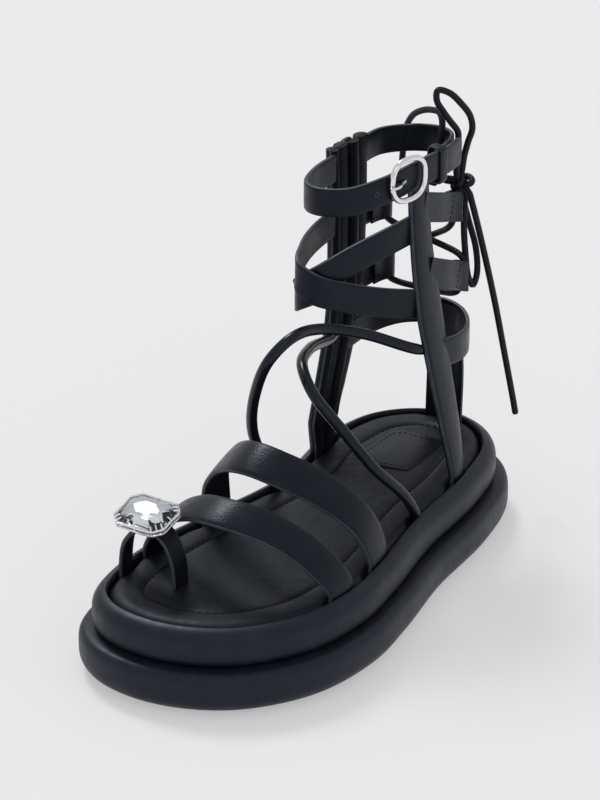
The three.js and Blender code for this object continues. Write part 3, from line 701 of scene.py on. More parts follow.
def make_outsole():
    low, high = OUTSOLE_INSET, OUTSOLE_THICKNESS
    steps = [(low + 12, 0.0), (low + 0.8, 0.0), (low + 0.2, 0.3), (low, 0.9), (low, high)]
    sole_loft("outsole", steps, RUBBER)


def make_lower_roll():
    wall = OUTSOLE_INSET - 0.3
    start = -math.degrees(math.acos(1 - wall / LOWER["radius"]))
    side = [(inset, z) for inset, z, _ in roll_steps(LOWER, start, 90, ROLL_STEPS)]
    top = LOWER["bottom"] + 2 * LOWER["radius"]
    steps = [(wall + 1, OUTSOLE_THICKNESS + 0.3), *side, (14.0, top - 0.1)]
    sole_loft("lower_roll", steps, ROLL)


def upper_end_angle():
    depth = RECESS_INSET - UPPER["inset"]
    return math.degrees(math.acos(1 - depth / UPPER["radius"]))


def make_upper_roll():
    side = [(inset, z) for inset, z, _ in roll_steps(UPPER, -90, upper_end_angle(), ROLL_STEPS)]
    lip_z = side[-1][1]
    lip = [(RECESS_INSET + 0.25, lip_z - 0.6), (RECESS_INSET + 0.3, lip_z - 1.6)]
    floor = [(RECESS_INSET + 0.3, RECESS_FLOOR), (RECESS_INSET + 8, RECESS_FLOOR)]
    sole_loft("upper_roll", [*side, *lip, *floor], ROLL)


def make_arch_seam(node, roll, start, end):
    """A narrow raised seam over a roll's medial side."""
    u = outline_share(SEAM_X[node], -1, roll["inset"])
    rows = []
    for inset, z, angle in roll_steps(roll, start, end, 40):
        centre, along = outline_point(u, inset, z)
        inward = Vector((-along.y, along.x, 0))
        out = -inward * math.cos(angle) + UP * math.sin(angle)
        rows.append(Row(centre, along, out.normalized(), SEAM["width"]))
    band_piece(rows, SEAM["thickness"], 0.35, looks=[ROLL, ROLL], node=node, name=f"{node}_seam")


make_outsole()
make_lower_roll()
make_upper_roll()
make_arch_seam("lower_roll", LOWER, -70, 62)
make_arch_seam("upper_roll", UPPER, -50, upper_end_angle())


# ---- padded footbed
FOOTBED_EDGE = 13.3
STITCH_INSET, STITCH_HEIGHT, STITCH_PITCH = 27.3, 35.08, 3.4
FOOTBED_PROFILE = [  # inset, z
    (13.6, 27.3), (FOOTBED_EDGE, 29.5), (FOOTBED_EDGE, 31.6), (13.7, 33.2), (14.7, 34.6),
    (16.2, 35.6), (18.2, 36.0), (20.6, 36.15), (22.8, 36.05), (24.8, 35.85), (26.2, 35.5),
    (26.9, 35.05), (27.3, 34.85), (27.7, 35.0), (28.4, 35.35), (29.6, 35.5), (31.5, 35.55),
]
TUCK_DEPTH, TUCK_SPREAD = 2.3, 7.0
TUCK_FADE = 6  # how far inwards of the footbed's edge a tuck has faded away
SLOT_FEET = [  # x, side and half width of what stands in the slot
    (59.5, 1, 8), (67, -1, 8), (25, 1, 9), (27, -1, 9), (90, -1, 5), (-66, 1, 6.5), (-59, -1, 9),
    (-22, 1, 2), (-12.5, -1, 2), (-134, -1, 10),
]
FIELD_HEIGHTS = [35.5, 35.45, 35.35, 35.3, 35.25]
SPINE_ENDS = (-88.0, 86.0)
SPINE_STEPS = 24


def spine_point(x):
    return Vector((x, (edge_y(x, 1, 0) + edge_y(x, -1, 0)) / 2, 0))


SPINE = [spine_point(lerp(*SPINE_ENDS, i / SPINE_STEPS)) for i in range(SPINE_STEPS + 1)]


def on_spine(x):
    """The place on the footbed's middle line at x, or at its nearer end."""
    place = (x - SPINE_ENDS[0]) / (SPINE_ENDS[1] - SPINE_ENDS[0]) * SPINE_STEPS
    i = min(max(int(place), 0), SPINE_STEPS - 1)
    return SPINE[i].lerp(SPINE[i + 1], min(max(place - i, 0.0), 1.0))


def footbed_ring(inset, z, tucks):
    """A ring of the footbed that is held in wherever something stands in the slot beside it."""
    ring = []
    for i in range(RING_POINTS):
        u = i / RING_POINTS
        gap = min(min(abs(u - at), 1 - abs(u - at)) * OUTLINE.length - half for at, half in tucks)
        held = 1 - smooth(gap / TUCK_SPREAD)
        fade = max(0.0, 1 - (inset - FOOTBED_EDGE) / TUCK_FADE)
        ring.append(outline_point(u, inset + TUCK_DEPTH * held * fade, z)[0])
    return ring


def make_footbed():
    tucks = [(outline_share(x, side), half) for x, side, half in SLOT_FEET]
    rings = [footbed_ring(inset, z, tucks) for inset, z in FOOTBED_PROFILE]
    rim = rings[-1]
    for k, height in enumerate(FIELD_HEIGHTS):
        share = smooth((k + 1) / len(FIELD_HEIGHTS)) * 0.97
        ring = []
        for point in rim:
            moved = point.lerp(on_spine(point.x), share)
            ring.append(Vector((moved.x, moved.y, height)))
        rings.append(ring)
    shape = Shape()
    shape.loft(rings)
    finish_piece(shape, [BED], "footbed", sharp=60)


def make_footbed_stitches():
    shape = Shape()
    ring = Route(outline_ring(STITCH_INSET, STITCH_HEIGHT, 96), closed=True, per_span=6)
    count = round(ring.length / STITCH_PITCH)
    places = [(ring.at(i / count), ring.tangent(i / count), UP) for i in range(count)]
    add_stitches(shape, places, 2.4, 0.34)
    finish_piece(shape, [THREAD], "footbed", "footbed_stitches")


PATCH_MIDDLE = Vector((-77, -8.4, 35.5))
PATCH_CORNERS = [(18, -14), (21, 0), (18, 14), (-14, 14.5), (-18, 10), (-18, -10), (-14, -14.5)]
PATCH_REACH = 16.0  # from the patch's middle to its edge
PATCH_ROUNDING = 1.6
PATCH_STITCH_PITCH = 2.8


def patch_outline(shrink):
    """The heel patch's outline, with each corner rounded by short steps."""
    points = []
    corners = [Vector((x, y, 0)) for x, y in PATCH_CORNERS]
    for i, corner in enumerate(corners):
        before, after = corners[i - 1], corners[(i + 1) % len(corners)]
        start = corner + (before - corner).normalized() * PATCH_ROUNDING
        end = corner + (after - corner).normalized() * PATCH_ROUNDING
        for t in (0.0, 0.33, 0.67, 1.0):
            points.append(start.lerp(corner, t).lerp(corner.lerp(end, t), t))
    return [PATCH_MIDDLE + point * (1 - shrink / PATCH_REACH) for point in points]


def make_heel_patch():
    shape = Shape()
    steps = [(0.0, -1.0), (0.0, 0.15), (0.25, 0.35), (0.7, 0.42)]
    shape.loft([[point + UP * z for point in patch_outline(inset)] for inset, z in steps])
    finish_piece(shape, [PATCH], "footbed", "heel_patch", sharp=50)
    thread = Shape()
    corners = [point + UP * 0.45 for point in patch_outline(2.2)]
    lengths = [0.0]
    for a, b in zip(corners, corners[1:] + corners[:1]):
        lengths.append(lengths[-1] + (b - a).length)
    count = round(lengths[-1] / PATCH_STITCH_PITCH)
    places = []
    for i in range(count):
        target = lengths[-1] * (i + 0.5) / count
        k = bisect.bisect_right(lengths, target) - 1
        a, b = corners[k], corners[(k + 1) % len(corners)]
        share = (target - lengths[k]) / (lengths[k + 1] - lengths[k])
        places.append((a.lerp(b, share), (b - a).normalized(), UP))
    add_stitches(thread, places, 1.9, 0.24)
    finish_piece(thread, [THREAD], "footbed", "heel_patch_stitches")


make_footbed()
make_footbed_stitches()
make_heel_patch()


# ---- forefoot bands and toe loop
SLOT_RISE = (0.0, 5.0, 11.0)


def slot_stops(x, side):
    y = edge_y(x, side, SLOT_MIDDLE)
    return [(x, y, SLOT_FLOOR + rise) for rise in SLOT_RISE]


def slot_slope(x, side, near=6):
    """How much the slot's y changes with x, from two places near this x."""
    return (edge_y(x + near, side, SLOT_MIDDLE) - edge_y(x - near, side, SLOT_MIDDLE)) / (2 * near)


FOREFOOT_BANDS = {
    "front_strap": {
        "width": 16, "tip": 22, "feet": (59.5, 67),
        "stops": [(67, 36, 54), (74, 20, 65), (80, 0, 70), (77, -18, 66.5), (73, -34, 56)],
    },
    "instep_strap": {
        "width": 17.5, "tip": 28, "feet": (25, 27),
        "stops": [
            (30, 37, 55), (40, 25, 70), (51, 9, 81), (52, -6, 83), (44, -22.5, 75.5),
            (36, -34.5, 61),
        ],
    },
}


def make_forefoot_band(name, width, tip, feet, stops):
    route = Route([*slot_stops(feet[0], 1), *stops, *reversed(slot_stops(feet[1], -1))])
    slopes = (slot_slope(feet[0], 1), slot_slope(feet[1], -1))

    def hint(u):
        lean = math.radians(tip) * math.sin(math.pi * u)
        return Vector((math.cos(lean), lerp(*slopes, u), -math.sin(lean)))

    band_piece(rows_along(route, 110, lambda u: width, hint), 2.2, 0.25, 0.2, node=name)


for name, band in FOREFOOT_BANDS.items():
    make_forefoot_band(name, **band)


TOE_LOOP = {
    "width": 10, "foot": 90,
    "stops": [
        (91.7, -40.5, 54), (91.5, -31, 62), (90.5, -22, 57.5), (89.5, -17.6, 47), (89, -16.6, 34.2),
    ],
}


def make_toe_loop():
    route = Route([*slot_stops(TOE_LOOP["foot"], -1), *TOE_LOOP["stops"]])
    slope = slot_slope(TOE_LOOP["foot"], -1)

    def hint(u):
        return Vector((1, slope * (1 - u), -0.25 * math.sin(math.pi * u)))

    band_piece(rows_along(route, 70, lambda u: TOE_LOOP["width"], hint), 2.0, node="toe_loop")


make_toe_loop()


# ---- gem and its setting
GEM = {"at": Vector((92, -31, 63.9)), "length": 23.0, "width": 18.0, "corner": 3.4}
GEM_FACING = Vector((0.25, 0.02, 1)).normalized()
GEM_TURN = UP.rotation_difference(GEM_FACING).to_matrix()
RAIL_STEPS = 96


def gem_ring(margin, z, split=1):
    """The gem's outline grown by a margin at a height, each side cut into equal parts."""
    half_x, half_y = GEM["width"] / 2 + margin, GEM["length"] / 2 + margin
    cut_x, cut_y = half_x - GEM["corner"], half_y - GEM["corner"]
    corners = [
        (half_x, -cut_y), (half_x, cut_y), (cut_x, half_y), (-cut_x, half_y),
        (-half_x, cut_y), (-half_x, -cut_y), (-cut_x, -half_y), (cut_x, -half_y),
    ]
    ring = []
    for (x0, y0), (x1, y1) in zip(corners, corners[1:] + corners[:1]):
        for k in range(split):
            x, y = lerp(x0, x1, k / split), lerp(y0, y1, k / split)
            ring.append(GEM_TURN @ Vector((x, y, z)) + GEM["at"])
    return ring


def star_skin(shape, rings):
    """Joins rings by triangles that lean left and right in turn, as cut facets do."""
    count = len(rings[0])
    faces = []
    for r in range(len(rings) - 1):
        for i in range(count):
            j = (i + 1) % count
            a, b, c, d = r * count + i, r * count + j, (r + 1) * count + j, (r + 1) * count + i
            faces += [(a, b, c), (a, c, d)] if (i + r) % 2 else [(a, b, d), (b, c, d)]
    faces.append(tuple(range(count))[::-1])
    faces.append(tuple((len(rings) - 1) * count + i for i in range(count)))
    shape.add([point for ring in rings for point in ring], faces)


def make_gem():
    """The cut stone, and the silvered facets behind it."""
    crown = [(-0.6, 2.3), (0.0, 2.9), (0.0, 3.5), (-1.1, 4.4), (-2.4, 5.2), (-3.8, 5.9), (-5.4, 6.35)]
    foil = [(-6.5, 0.6), (-4.6, 1.1), (-2.6, 1.45), (-0.7, 2.15)]
    for steps, look, name, slot in (
        (crown, GLASS, "gem_visual", "gem_crystal"), (foil, FOIL, "gem_foil_back", "silver_metal"),
    ):
        shape = Shape()
        star_skin(shape, [gem_ring(margin, z, 3) for margin, z in steps])
        finish_piece(shape, [look], "gem", name, slot, sharp=0)


def make_setting():
    shape = Shape()
    shape.loft([gem_ring(margin, z) for margin, z in ((1.0, 0.0), (1.2, 0.3), (1.2, 0.7), (0.8, 1.0))])
    for margin, z, radius in ((0.9, 1.0, 0.55), (0.9, 2.9, 0.6)):
        rail = Route(gem_ring(margin, z, 2), closed=True, per_span=4)
        add_tube(shape, [rail.at(i / RAIL_STEPS) for i in range(RAIL_STEPS)], radius, 8, closed=True)
    low, high, over = gem_ring(0.9, 0.8, 2), gem_ring(0.8, 3.7, 2), gem_ring(-0.7, 4.6, 2)
    for start, top, claw in zip(low, high, over):
        add_tube(shape, cord_points([start, start.lerp(top, 0.5), top, claw], 10), 0.42, 8)
    finish_piece(shape, [SILVER], "gem_setting")


make_gem()
make_setting()


# ---- ankle cage: posts
POSTS = {  # x of the foot, width there, and stops of x, y, z, width
    "lateral": {
        "side": 1, "foot": -66, "foot_width": 13,
        "stops": [
            (-65.5, 24, 60, 17), (-65, 19, 84, 19), (-64, 13, 115, 20), (-64.5, 8, 145, 16),
            (-65, 5.5, 174, 14.5),
        ],
    },
    "medial": {
        "side": -1, "foot": -59, "foot_width": 18,
        "stops": [
            (-60.5, -40.3, 50, 27), (-62.5, -38.5, 65, 28), (-71, -37, 100, 29),
            (-73, -36.5, 140, 29.5), (-73, -37, 181, 29.5),
        ],
    },
}


def post_rows(post, steps=90):
    side = post["side"]
    feet = [(*stop, post["foot_width"]) for stop in slot_stops(post["foot"], side)]
    stops = [*feet, *post["stops"]]
    route = Route([stop[:3] for stop in stops])
    slope = slot_slope(post["foot"], side)
    widths = [(stop[2], stop[3]) for stop in stops]

    def hint(u):
        return Vector((1, slope * (1 - u), 0))

    return rows_along(route, steps, lambda u: table_value(widths, route.at(u).z), hint, side < 0)


POST_ROWS = {name: post_rows(post) for name, post in POSTS.items()}


def post_y(name, z):
    """The y of the middle of a post at height z."""
    return table_value([(row.centre.z, row.centre.y) for row in POST_ROWS[name]], z)


MEDIAL_FULL_WIDTH = 29.5


def scaled_panel(rows, middle, width, out=0.0):
    """A narrower panel on a post, whose place and width shrink with the post's width."""
    panel = []
    for row in rows:
        size = row.width / MEDIAL_FULL_WIDTH
        centre = row.centre + row.across * middle * size + row.out * out
        panel.append(row._replace(centre=centre, width=width * size))
    return panel


MEDIAL_PANELS = {  # middle, width, thickness, crown, how far out it lies, look
    "piping": (11.6, 6.2, 2.2, 1.5, 0.7, STRAP),
    "front_panel": (4.1, 8.0, 2.2, 1.0, 0.7, STRAP),
    "rear_panel": (-11.0, 7.2, 2.2, 1.3, 0.7, STRAP),
    "inner_front_fold": (12.2, 4.8, 1.8, 1.0, -0.9, LINING),
    "inner_front_lining": (5.4, 7.8, 1.4, 0.5, -0.8, LINING),
    "inner_guard": (-2.6, 7.0, 2.2, 1.5, -1.1, LINING),
    "inner_rear_lining": (-10.8, 7.6, 1.4, 0.6, -0.8, LINING),
}


def make_posts():
    lateral, medial = POST_ROWS["lateral"], POST_ROWS["medial"]
    band_piece(lateral, 1.9, 0.3, 0.6, name="post_lateral")
    inner = shift_rows(lateral, across=-0.5, out=-1.15)
    band_piece(inner, 1.2, 0.1, 0.6, [LINING, STRAP], name="post_lateral_lining")
    inner = shift_rows(medial, out=-0.3)
    band_piece(inner, 1.4, 0.0, looks=[LINING, EDGE_AND_PAINTED_HIGHLIGHT], name="post_medial_lining")
    for name, (middle, width, thickness, crown, out, look) in MEDIAL_PANELS.items():
        panel = scaled_panel(medial, middle, width, out=out)
        if out < 0:
            panel = [row._replace(out=-row.out) for row in panel]
        band_piece(panel, thickness, crown, looks=[look, look], name=f"post_medial_{name}")


make_posts()


# ---- ankle cage: bands and tabs
SHAFT_BANDS = {  # width, the posts it starts and ends in, whether it faces inwards, and its stops
    "inner_cross": {
        "width": 13.5, "start": "lateral", "end": "medial", "flip": True,
        "stops": [
            (-62, 6.5, 153), (-46, 2, 151), (-28, -6, 146), (-13, -15, 139), (-12, -23, 132),
            (-26, -31, 125), (-44, -35, 120), (-62, -37, 117),
        ],
    },
    "outer_cross": {
        "width": 13.5, "start": "medial", "end": "lateral", "flip": False,
        "stops": [
            (-62, -37, 148), (-40, -33.5, 146), (-22, -28, 145), (-9.5, -21.5, 142),
            (-10, -13, 137), (-22, -5, 131), (-38, 3, 125), (-58, 12.5, 119),
        ],
    },
    "top_front": {
        "width": 13, "start": "medial", "end": None, "flip": False,
        "stops": [
            (-62, -36.5, 173), (-40, -33, 173.5), (-24, -27, 173.5), (-19, -18, 174),
            (-24, -6, 174.5), (-40, 3.5, 177), (-56, 7.3, 179), (-68, 8.7, 179.3),
            (-78, 8.8, 179), (-86, 8.2, 178.5), (-98, 6.2, 178),
        ],
    },
    "top_back": {
        "width": 13, "start": "lateral", "end": "medial", "flip": False,
        "stops": [
            (-60, 5.5, 176), (-80, 5.5, 177.6), (-98, 2, 177.6), (-108, -6, 176.3),
            (-113, -17, 174.5), (-111, -29, 173), (-101, -36.5, 173), (-88, -37.3, 173),
            (-72, -37, 173),
        ],
    },
    "low_back": {
        "width": 13.5, "start": "lateral", "end": "medial", "flip": False,
        "stops": [
            (-64, 17.5, 93), (-86, 16, 90), (-104, 9, 88), (-117, -2.5, 87.5),
            (-121.5, -15, 87.5), (-114, -30, 87.5), (-98, -36.5, 87.5), (-72, -37, 88),
        ],
    },
}
BAND_THICKNESS = 1.9
UNDER_POST = 1.5


def ends_on_posts(stops, start, end):
    """The stops with the first and last moved just under the faces of their posts."""
    moved = list(stops)
    for i, post in ((0, start), (-1, end)):
        if post:
            x, _, z = moved[i]
            moved[i] = (x, post_y(post, z) - POSTS[post]["side"] * UNDER_POST, z)
    return moved


TAIL_CORNER, TAIL_NARROWING = 2.5, 2.4  # how far a free end is rounded, and what width that takes


def make_shaft_band(name, width, start, end, flip, stops):
    route = Route(ends_on_posts(stops, start, end))
    corner = TAIL_CORNER / route.length

    def width_at(u):
        if end or u < 1 - corner:
            return width
        rounding = math.sqrt(max(0.0, 1 - ((u - 1 + corner) / corner) ** 2))
        return width - TAIL_NARROWING * (1 - rounding)

    band_piece(rows_along(route, 120, width_at, lambda u: UP, flip), BAND_THICKNESS, 0.12, name=name)


for name, band in SHAFT_BANDS.items():
    make_shaft_band(name, **band)


HEEL_STRIP = {"middle_y": -11.75, "width": 19.5, "bottom": SLOT_FLOOR, "top": 92.0, "inside": 1.6}


def heel_x(y, inset):
    """The x of the back of the outline at y."""
    ring = [point for point in outline_ring(inset, 0) if point.x < -60]
    return min(ring, key=lambda point: abs(point.y - y)).x


def make_heel_strip():
    y, bottom, top = HEEL_STRIP["middle_y"], HEEL_STRIP["bottom"], HEEL_STRIP["top"]
    x = heel_x(y, SLOT_MIDDLE)
    upper_x = x + HEEL_STRIP["inside"]
    stops = [(x, y, bottom), (x, y, bottom + 12), (x - 0.5, y, 60), (upper_x, y, 84), (upper_x, y, top)]
    medial = Vector((0, -1, 0))
    rows = rows_along(Route(stops), 50, lambda u: HEEL_STRIP["width"], lambda u: medial, True)
    band_piece(rows, BAND_THICKNESS, 0.2, 1.0, name="heel_strip")


make_heel_strip()


TABS = {  # heights where it starts and folds, its post, a stop on the way, its lace, its outer side
    "tab_lateral_high": {
        "heights": (161.5, 148.6), "post": "lateral", "start_x": -66, "way": (-84, 5.5),
        "lace": (-103.7, 1.5), "outer": 1,
    },
    "tab_lateral_low": {
        "heights": (131.5, 115.0), "post": "lateral", "start_x": -66, "way": (-84, 9.5),
        "lace": (-105.0, 4.5), "outer": 1,
    },
    "tab_medial_high": {
        "heights": (143.0, 142.0), "post": "medial", "start_x": -72, "way": (-88, -37),
        "lace": (-104.6, -36), "outer": -1,
    },
    "tab_medial_low": {
        "heights": (112.0, 112.0), "post": "medial", "start_x": -72, "way": (-88, -37),
        "lace": (-106.7, -35.5), "outer": -1,
    },
}
TAB = {"width": 13.5, "thickness": 1.2, "turn": 2.5, "apart": 0.62, "threads": 5, "thread_pitch": 2.5}


def make_tab(name, heights, post, start_x, way, lace, outer):
    """A tab that folds inwards round the lace and comes back along its own inner side."""
    turn, apart = TAB["turn"], TAB["apart"]
    way_x, way_y = way
    lx, ly = lace

    def stop(x, y):
        return (x, y, lerp(*heights, (x - start_x) / (lx - start_x)))

    route = Route([
        stop(start_x, post_y(post, heights[0]) + outer * apart),
        stop(way_x, way_y + outer * apart),
        stop(lx + 7, lerp(way_y, ly, 0.7) + outer * 1.3),
        stop(lx + 0.6, ly + outer * turn),
        stop(lx - turn * 0.75, ly + outer * turn * 0.72),
        stop(lx - turn, ly),
        stop(lx - turn * 0.75, ly - outer * turn * 0.72),
        stop(lx + 0.6, ly - outer * turn),
        stop(lx + 6, lerp(way_y, ly, 0.75) - outer * 0.9),
        stop(lx + 12, lerp(way_y, ly, 0.45) - outer * apart),
    ])
    rows = rows_along(route, 110, lambda u: TAB["width"], lambda u: UP, outer < 0)
    band_piece(rows, TAB["thickness"], 0.05, name=name)
    thread = Shape()
    row = min(rows[:60], key=lambda r: abs(r.centre.x - lx - 8.6))
    places = []
    for i in range(TAB["threads"]):
        across = (i - TAB["threads"] // 2) * TAB["thread_pitch"]
        places.append((row.centre + row.across * across + row.out * 0.65, row.across, row.out))
    add_stitches(thread, places, 1.8, 0.25)
    finish_piece(thread, [THREAD], "ankle_cage", f"{name}_stitches")


for name, tab in TABS.items():
    make_tab(name, **tab)


# ---- instep cords and lace crossings
CORD_RADIUS = 2.5
INSTEP_CORDS = {
    "cord_lateral_to_medial": [
        (-64, 15.2, 95), (-50, 12, 101), (-30, -1, 112), (-10, -11, 119), (10, -12.5, 121.5),
        (19, -18, 113), (15, -28, 93), (5, -36, 70), (-6, -37, 50), (-12, -34.3, 37.2),
        (-12.6, -34.3, 31),
    ],
    "cord_medial_to_lateral": [
        (-64, -35.2, 92), (-48, -31.5, 95), (-19, -22, 103.5), (2, -12, 105.5), (11, 0, 98),
        (9.5, 14, 84), (3, 25.5, 67), (-12, 31.5, 50), (-21, 32.5, 37.2), (-22.4, 32.4, 31),
    ],
}
LACE_CROSSINGS = [
    (-106.8, -11.2, 156), (-108, -24, 155), (-105.1, -34.8, 149.8), (-104.6, -36, 143),
    (-104.7, -35.6, 135.5), (-107.6, -15, 128.2), (-107.2, 3.8, 122.5), (-105.0, 4.5, 115),
    (-102.6, 4.1, 108.3), (-107.5, -15, 103.5), (-106.9, -35.1, 105.2), (-106.7, -35.5, 112),
    (-106.9, -35.1, 118.8), (-110.6, -15, 128.6), (-101.8, 0.9, 141), (-103.7, 1.5, 148.6),
    (-106.2, 0.9, 154.6),
]


def cord_taper(u):
    """A cord is thinner where it goes in under the post."""
    return lerp(0.55, 1, smooth(u * 14))


def make_cords():
    for name, stops in INSTEP_CORDS.items():
        points = cord_points(stops, 150)
        tube_piece(points, CORD_RADIUS, CORD, "ankle_cage", name, sides=20, taper=cord_taper)
    tube_piece(cord_points(LACE_CROSSINGS, 320), LACE_RADIUS, LACE, "lace_crossings")


make_cords()


# ---- buckle, prong and keeper
BUCKLE_SEAT = {"at": Vector((-50.4, 6.6, 180)), "turn": -13.0}
BUCKLE = {"half_length": 10.0, "half_height": 9.4, "wire": 1.3, "out": 2.6}
BUCKLE_STEPS, BUCKLE_SQUARENESS = 120, 0.8
PRONG_RADIUS = 0.85


def on_strap(x, y, z):
    """A point given along the strap, outwards and up, moved to the buckle's place."""
    turn = Matrix.Rotation(math.radians(BUCKLE_SEAT["turn"]), 3, "Z")
    return turn @ Vector((x, y, z)) + BUCKLE_SEAT["at"]


def prong_taper(u):
    return 1 - 0.35 * smooth(u * 1.2 - 0.2)


def make_buckle():
    ring = []
    for c, s in circle(BUCKLE_STEPS):
        x = bent(c, BUCKLE_SQUARENESS) * BUCKLE["half_length"]
        ring.append(on_strap(x, BUCKLE["out"], bent(s, BUCKLE_SQUARENESS) * BUCKLE["half_height"]))
    tube_piece(ring, BUCKLE["wire"], SILVER, "buckle_frame", sides=16, closed=True)
    tip = BUCKLE["half_length"] + BUCKLE["wire"]
    stops = [(0.5, 1.0, -1), (4, 2.6, -1), (tip - 3.4, 4.9, -1), (tip - 0.6, 5.0, -1), (tip + 1, 4.4, -1)]
    points = cord_points([on_strap(*stop) for stop in stops], 30)
    tube_piece(points, PRONG_RADIUS, SILVER, "buckle_prong", sides=12, taper=prong_taper)


KEEPER_SEAT = Vector((-77, 7.2, 178.3))
KEEPER = {"along": 5.0, "half_depth": 3.45, "half_height": 8.1, "corner": 1.6, "wall": 0.8}
TOP_ROUTE = Route(SHAFT_BANDS["top_front"]["stops"])
HOLE = {"near": Vector((-35, 1.5, 177.5)), "radius": 0.85, "rim": 0.22, "shade_disc": 0.75}
HOLE_SEARCH = 200


def rounded_loop(half_y, half_z, corner, per_corner=8):
    """Points round a rectangle with round corners in the plane of Y and Z."""
    loop = []
    centres = [(half_y - corner, half_z - corner), (corner - half_y, half_z - corner),
               (corner - half_y, corner - half_z), (half_y - corner, corner - half_z)]
    for quarter, (cy, cz) in enumerate(centres):
        for k in range(per_corner + 1):
            angle = math.radians(90 * (quarter + k / per_corner))
            loop.append(Vector((0, cy + corner * math.cos(angle), cz + corner * math.sin(angle))))
    return loop


def make_keeper():
    loop = rounded_loop(KEEPER["half_depth"], KEEPER["half_height"], KEEPER["corner"])
    across = Vector((1, 0, 0))
    rows = []
    for i, point in enumerate(loop):
        tangent = (loop[(i + 1) % len(loop)] - loop[i - 1]).normalized()
        rows.append(Row(point + KEEPER_SEAT, across, tangent.cross(across), KEEPER["along"]))
    band_piece(rows, KEEPER["wall"], node="keeper", closed=True)


def make_strap_hole():
    """A punched hole with a turned rim, in front of the buckle. No hole is cut: a darker matte disc of
    lining leather on the strap's face is painted shade for the opening, and the rim has the lighter edge
    colour with its painted highlight.
    """
    shares = [i / HOLE_SEARCH for i in range(HOLE_SEARCH)]
    u = min(shares, key=lambda share: (TOP_ROUTE.at(share) - HOLE["near"]).length)
    at, along = TOP_ROUTE.at(u), TOP_ROUTE.tangent(u)
    out = along.cross(UP).normalized()
    face = at + out * (BAND_THICKNESS / 2 + 0.1)
    ring = [face + (along * c + UP * s) * HOLE["radius"] for c, s in circle(24)]
    tube_piece(ring, HOLE["rim"], EDGE_AND_PAINTED_HIGHLIGHT, "ankle_cage", "strap_hole_rim", sides=8, closed=True)
    # Painted shade: a darker, matte disc stands where the hole's opening would be.
    shade_disc = Shape()
    add_bead(shade_disc, face, (along, UP, out), (HOLE["shade_disc"], HOLE["shade_disc"], 0.12), around=16)
    finish_piece(shade_disc, [LINING], "ankle_cage", "strap_hole")


make_buckle()
make_keeper()
make_strap_hole()


# ---- zip
ZIP = {"middle": -3.5, "lowest": 38.0, "highest": 168.0, "pitch": 1.5}
SLIDER = {"x": -76.5, "face": -38.4, "thickness": 2.4, "bottom": 169.0, "top": 181.0, "apart": 2.95}
PIN = Vector((SLIDER["x"], -43.8, 176.0))


def zip_rows(steps):
    rows = scaled_panel(POST_ROWS["medial"], ZIP["middle"], 7.5, out=0.6)
    inside = [row for row in rows if ZIP["lowest"] < row.centre.z < ZIP["highest"]]
    route = Route([row.centre for row in inside], per_span=4)
    first, last = inside[0], inside[-1]
    placed = []
    for i in range(steps + 1):
        u = i / steps
        tangent = route.tangent(u)
        across = first.across.lerp(last.across, u)
        across = (across - tangent * across.dot(tangent)).normalized()
        out = first.out.lerp(last.out, u)
        out = (out - tangent * out.dot(tangent)).normalized()
        placed.append((Row(route.at(u), across, out, inside[0].width), tangent))
    return placed, route.length


def make_zip():
    placed, length = zip_rows(60)
    tape = [row for row, _ in placed]
    band_piece(tape, 0.8, 0.0, looks=[TAPE, TAPE], node="zip_teeth", name="zip_tape")
    teeth = Shape()
    count = int(length / ZIP["pitch"])
    placed, _ = zip_rows(2 * count)
    for i, (row, tangent) in enumerate(placed):
        side = 1 if i % 2 else -1
        centre = row.centre + row.across * side * 0.75 + row.out * 0.9
        add_bead(teeth, centre, (row.across, tangent, row.out), (1.35, 0.48, 0.6), 0.5, 8, 4)
    finish_piece(teeth, [TEETH], "zip_teeth")


def make_slider():
    shape = Shape()
    axes = (Vector((1, 0, 0)), UP, Vector((0, 1, 0)))
    face = SLIDER["face"] - 0.3
    middle_z = (SLIDER["bottom"] + SLIDER["top"]) / 2
    body = Vector((SLIDER["x"], face - SLIDER["thickness"] / 2, middle_z))
    add_bead(shape, body, axes, (4.0, 6.0, SLIDER["thickness"] / 2), 0.35, 24, 9)
    bridge = [  # y and z of an arch over the pin
        (face - 1.6, PIN.z - 3.0), (PIN.y + 0.6, PIN.z - 1.2), (PIN.y, PIN.z),
        (PIN.y + 0.6, PIN.z + 1.4), (face - 1.6, PIN.z + 3.2),
    ]
    for side in (-1, 1):
        arch = [(SLIDER["x"] + side * SLIDER["apart"], y, z) for y, z in bridge]
        add_tube(shape, cord_points(arch, 20), 0.65, 10)
    pin = [PIN + Vector((x, 0, 0)) for x in (-3.0, -1.5, 0.0, 1.5, 3.0)]
    add_tube(shape, pin, 0.8, 14)
    finish_piece(shape, [BLACK_METAL], "zip_slider")


PULL = {"width": 7.5, "start": 4.6, "length": 28.0, "tip": 8.0, "overlap": 0.8}
EYE = {"radius": 1.6, "drop": 3.2, "wire": 0.62, "strands": (-1.2, 0.0, 1.2)}


def pull_rows(top, bottom, width, corner, steps=16):
    """Rows of a flat tab that hangs from the pin, with round corners at its lower end."""
    rows = []
    for i in range(steps + 1):
        drop = lerp(top, bottom, i / steps)
        left = bottom - drop
        size = width
        if left < corner:
            size = width - 2 * corner * (1 - math.sqrt(max(0.0, 1 - ((corner - left) / corner) ** 2)))
        rows.append(Row(PIN + Vector((0, 0, -drop)), Vector((1, 0, 0)), Vector((0, -1, 0)), size))
    return rows


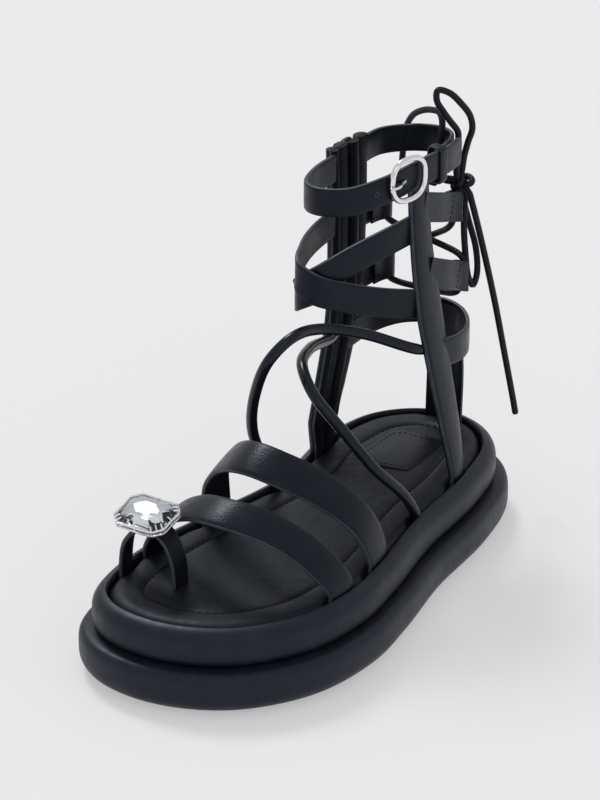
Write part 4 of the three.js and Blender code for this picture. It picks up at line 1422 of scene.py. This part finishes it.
def make_pull():
    loop = []
    for c, s in circle(40):
        drop = EYE["drop"] if s < 0 else 1.0
        loop.append(PIN + Vector((0, c, s * drop)) * EYE["radius"])
    eye = Shape()
    for x in EYE["strands"]:
        add_tube(eye, [point + Vector((x, 0, 0)) for point in loop], EYE["wire"], 10, closed=True)
    finish_piece(eye, [BLACK_METAL], "zip_pull", "zip_pull_eye", "zip_metal")
    tab_end = PULL["length"] - PULL["tip"]
    tab = pull_rows(PULL["start"], tab_end, PULL["width"], 0.3)
    band_piece(tab, 1.7, node="zip_pull", name="zip_pull_tab")
    tip = pull_rows(tab_end - PULL["overlap"], PULL["length"], PULL["width"] + 0.3, 0.9)
    band_piece(tip, 2.1, 0.1, looks=[GREY_METAL, GREY_METAL], node="zip_pull", name="zip_pull_tip")


make_zip()
make_slider()
make_pull()


# ---- rivets
RIVETS = {"rivet_upper": 156.0, "rivet_lower": 148.0}


def make_rivet(node, z):
    """A low dome with a rim, on the inner side of the lateral post."""
    row = min(POST_ROWS["lateral"], key=lambda r: abs(r.centre.z - z))
    across, out = row.across, -row.out
    other = out.cross(across)
    profile = [(2.3, 0.0), (2.35, 0.3), (2.1, 0.55), (1.75, 0.6), (1.6, 0.75), (1.2, 1.0), (0.6, 1.15)]
    rings = []
    for radius, height in profile:
        centre = row.centre + out * (1.3 + height)
        rings.append([centre + (across * c + other * s) * radius for c, s in circle(24)])
    shape = Shape()
    shape.loft(rings)
    finish_piece(shape, [SILVER], node)


for node, z in RIVETS.items():
    make_rivet(node, z)


# ---- floor and light
FLOOR_SIZE = 24.0
FLOOR_COLOR = (0.42, 0.42, 0.423)
FLOOR_GLOW = 0.95  # a softly lit floor, so that the shadow under the shoe stays pale
WORLD_COLOR, WORLD_STRENGTH = (0.985, 0.99, 1.0, 1), 0.63
SUNS = {  # the direction that the light comes from, its angle across, strength and colour
    "key_behind": {
        "towards": (-0.35, -0.55, 0.85), "angle": 15, "strength": 1.35, "color": (1.0, 0.998, 0.99),
    },
    "fill_camera": {
        "towards": (0.75, 0.7, 0.8), "angle": 40, "strength": 0.2, "color": (0.97, 0.985, 1.0),
    },
}


def make_floor():
    look = Look("floor", FLOOR_COLOR, 0.9, specular=0.1)
    look.inputs["Emission Color"].default_value = (*FLOOR_COLOR, 1)
    look.inputs["Emission Strength"].default_value = FLOOR_GLOW
    look.tint(900.0, FLOOR_COLOR, [1.02 * part for part in FLOOR_COLOR])
    half = FLOOR_SIZE / 2
    corners = [(-half, -half, 0), (half, -half, 0), (half, half, 0), (-half, half, 0)]
    mesh = bpy.data.meshes.new("floor")
    mesh.from_pydata(corners, [], [(0, 1, 2, 3)])
    mesh.materials.append(look.material)
    floor = bpy.data.objects.new("floor", mesh)
    bpy.context.scene.collection.objects.link(floor)


def make_lights():
    for name, sun in SUNS.items():
        data = bpy.data.lights.new(name, "SUN")
        data.angle = math.radians(sun["angle"])
        data.energy = sun["strength"]
        data.color = sun["color"]
        lamp = bpy.data.objects.new(name, data)
        lamp.rotation_euler = Vector(sun["towards"]).to_track_quat("Z", "Y").to_euler()
        bpy.context.scene.collection.objects.link(lamp)
    world = bpy.data.worlds.new("studio")
    world.use_nodes = True
    background = world.node_tree.nodes["Background"]
    background.inputs["Color"].default_value = WORLD_COLOR
    background.inputs["Strength"].default_value = WORLD_STRENGTH
    bpy.context.scene.world = world


make_floor()
make_lights()
bpy.context.scene.view_settings.view_transform = "Standard"
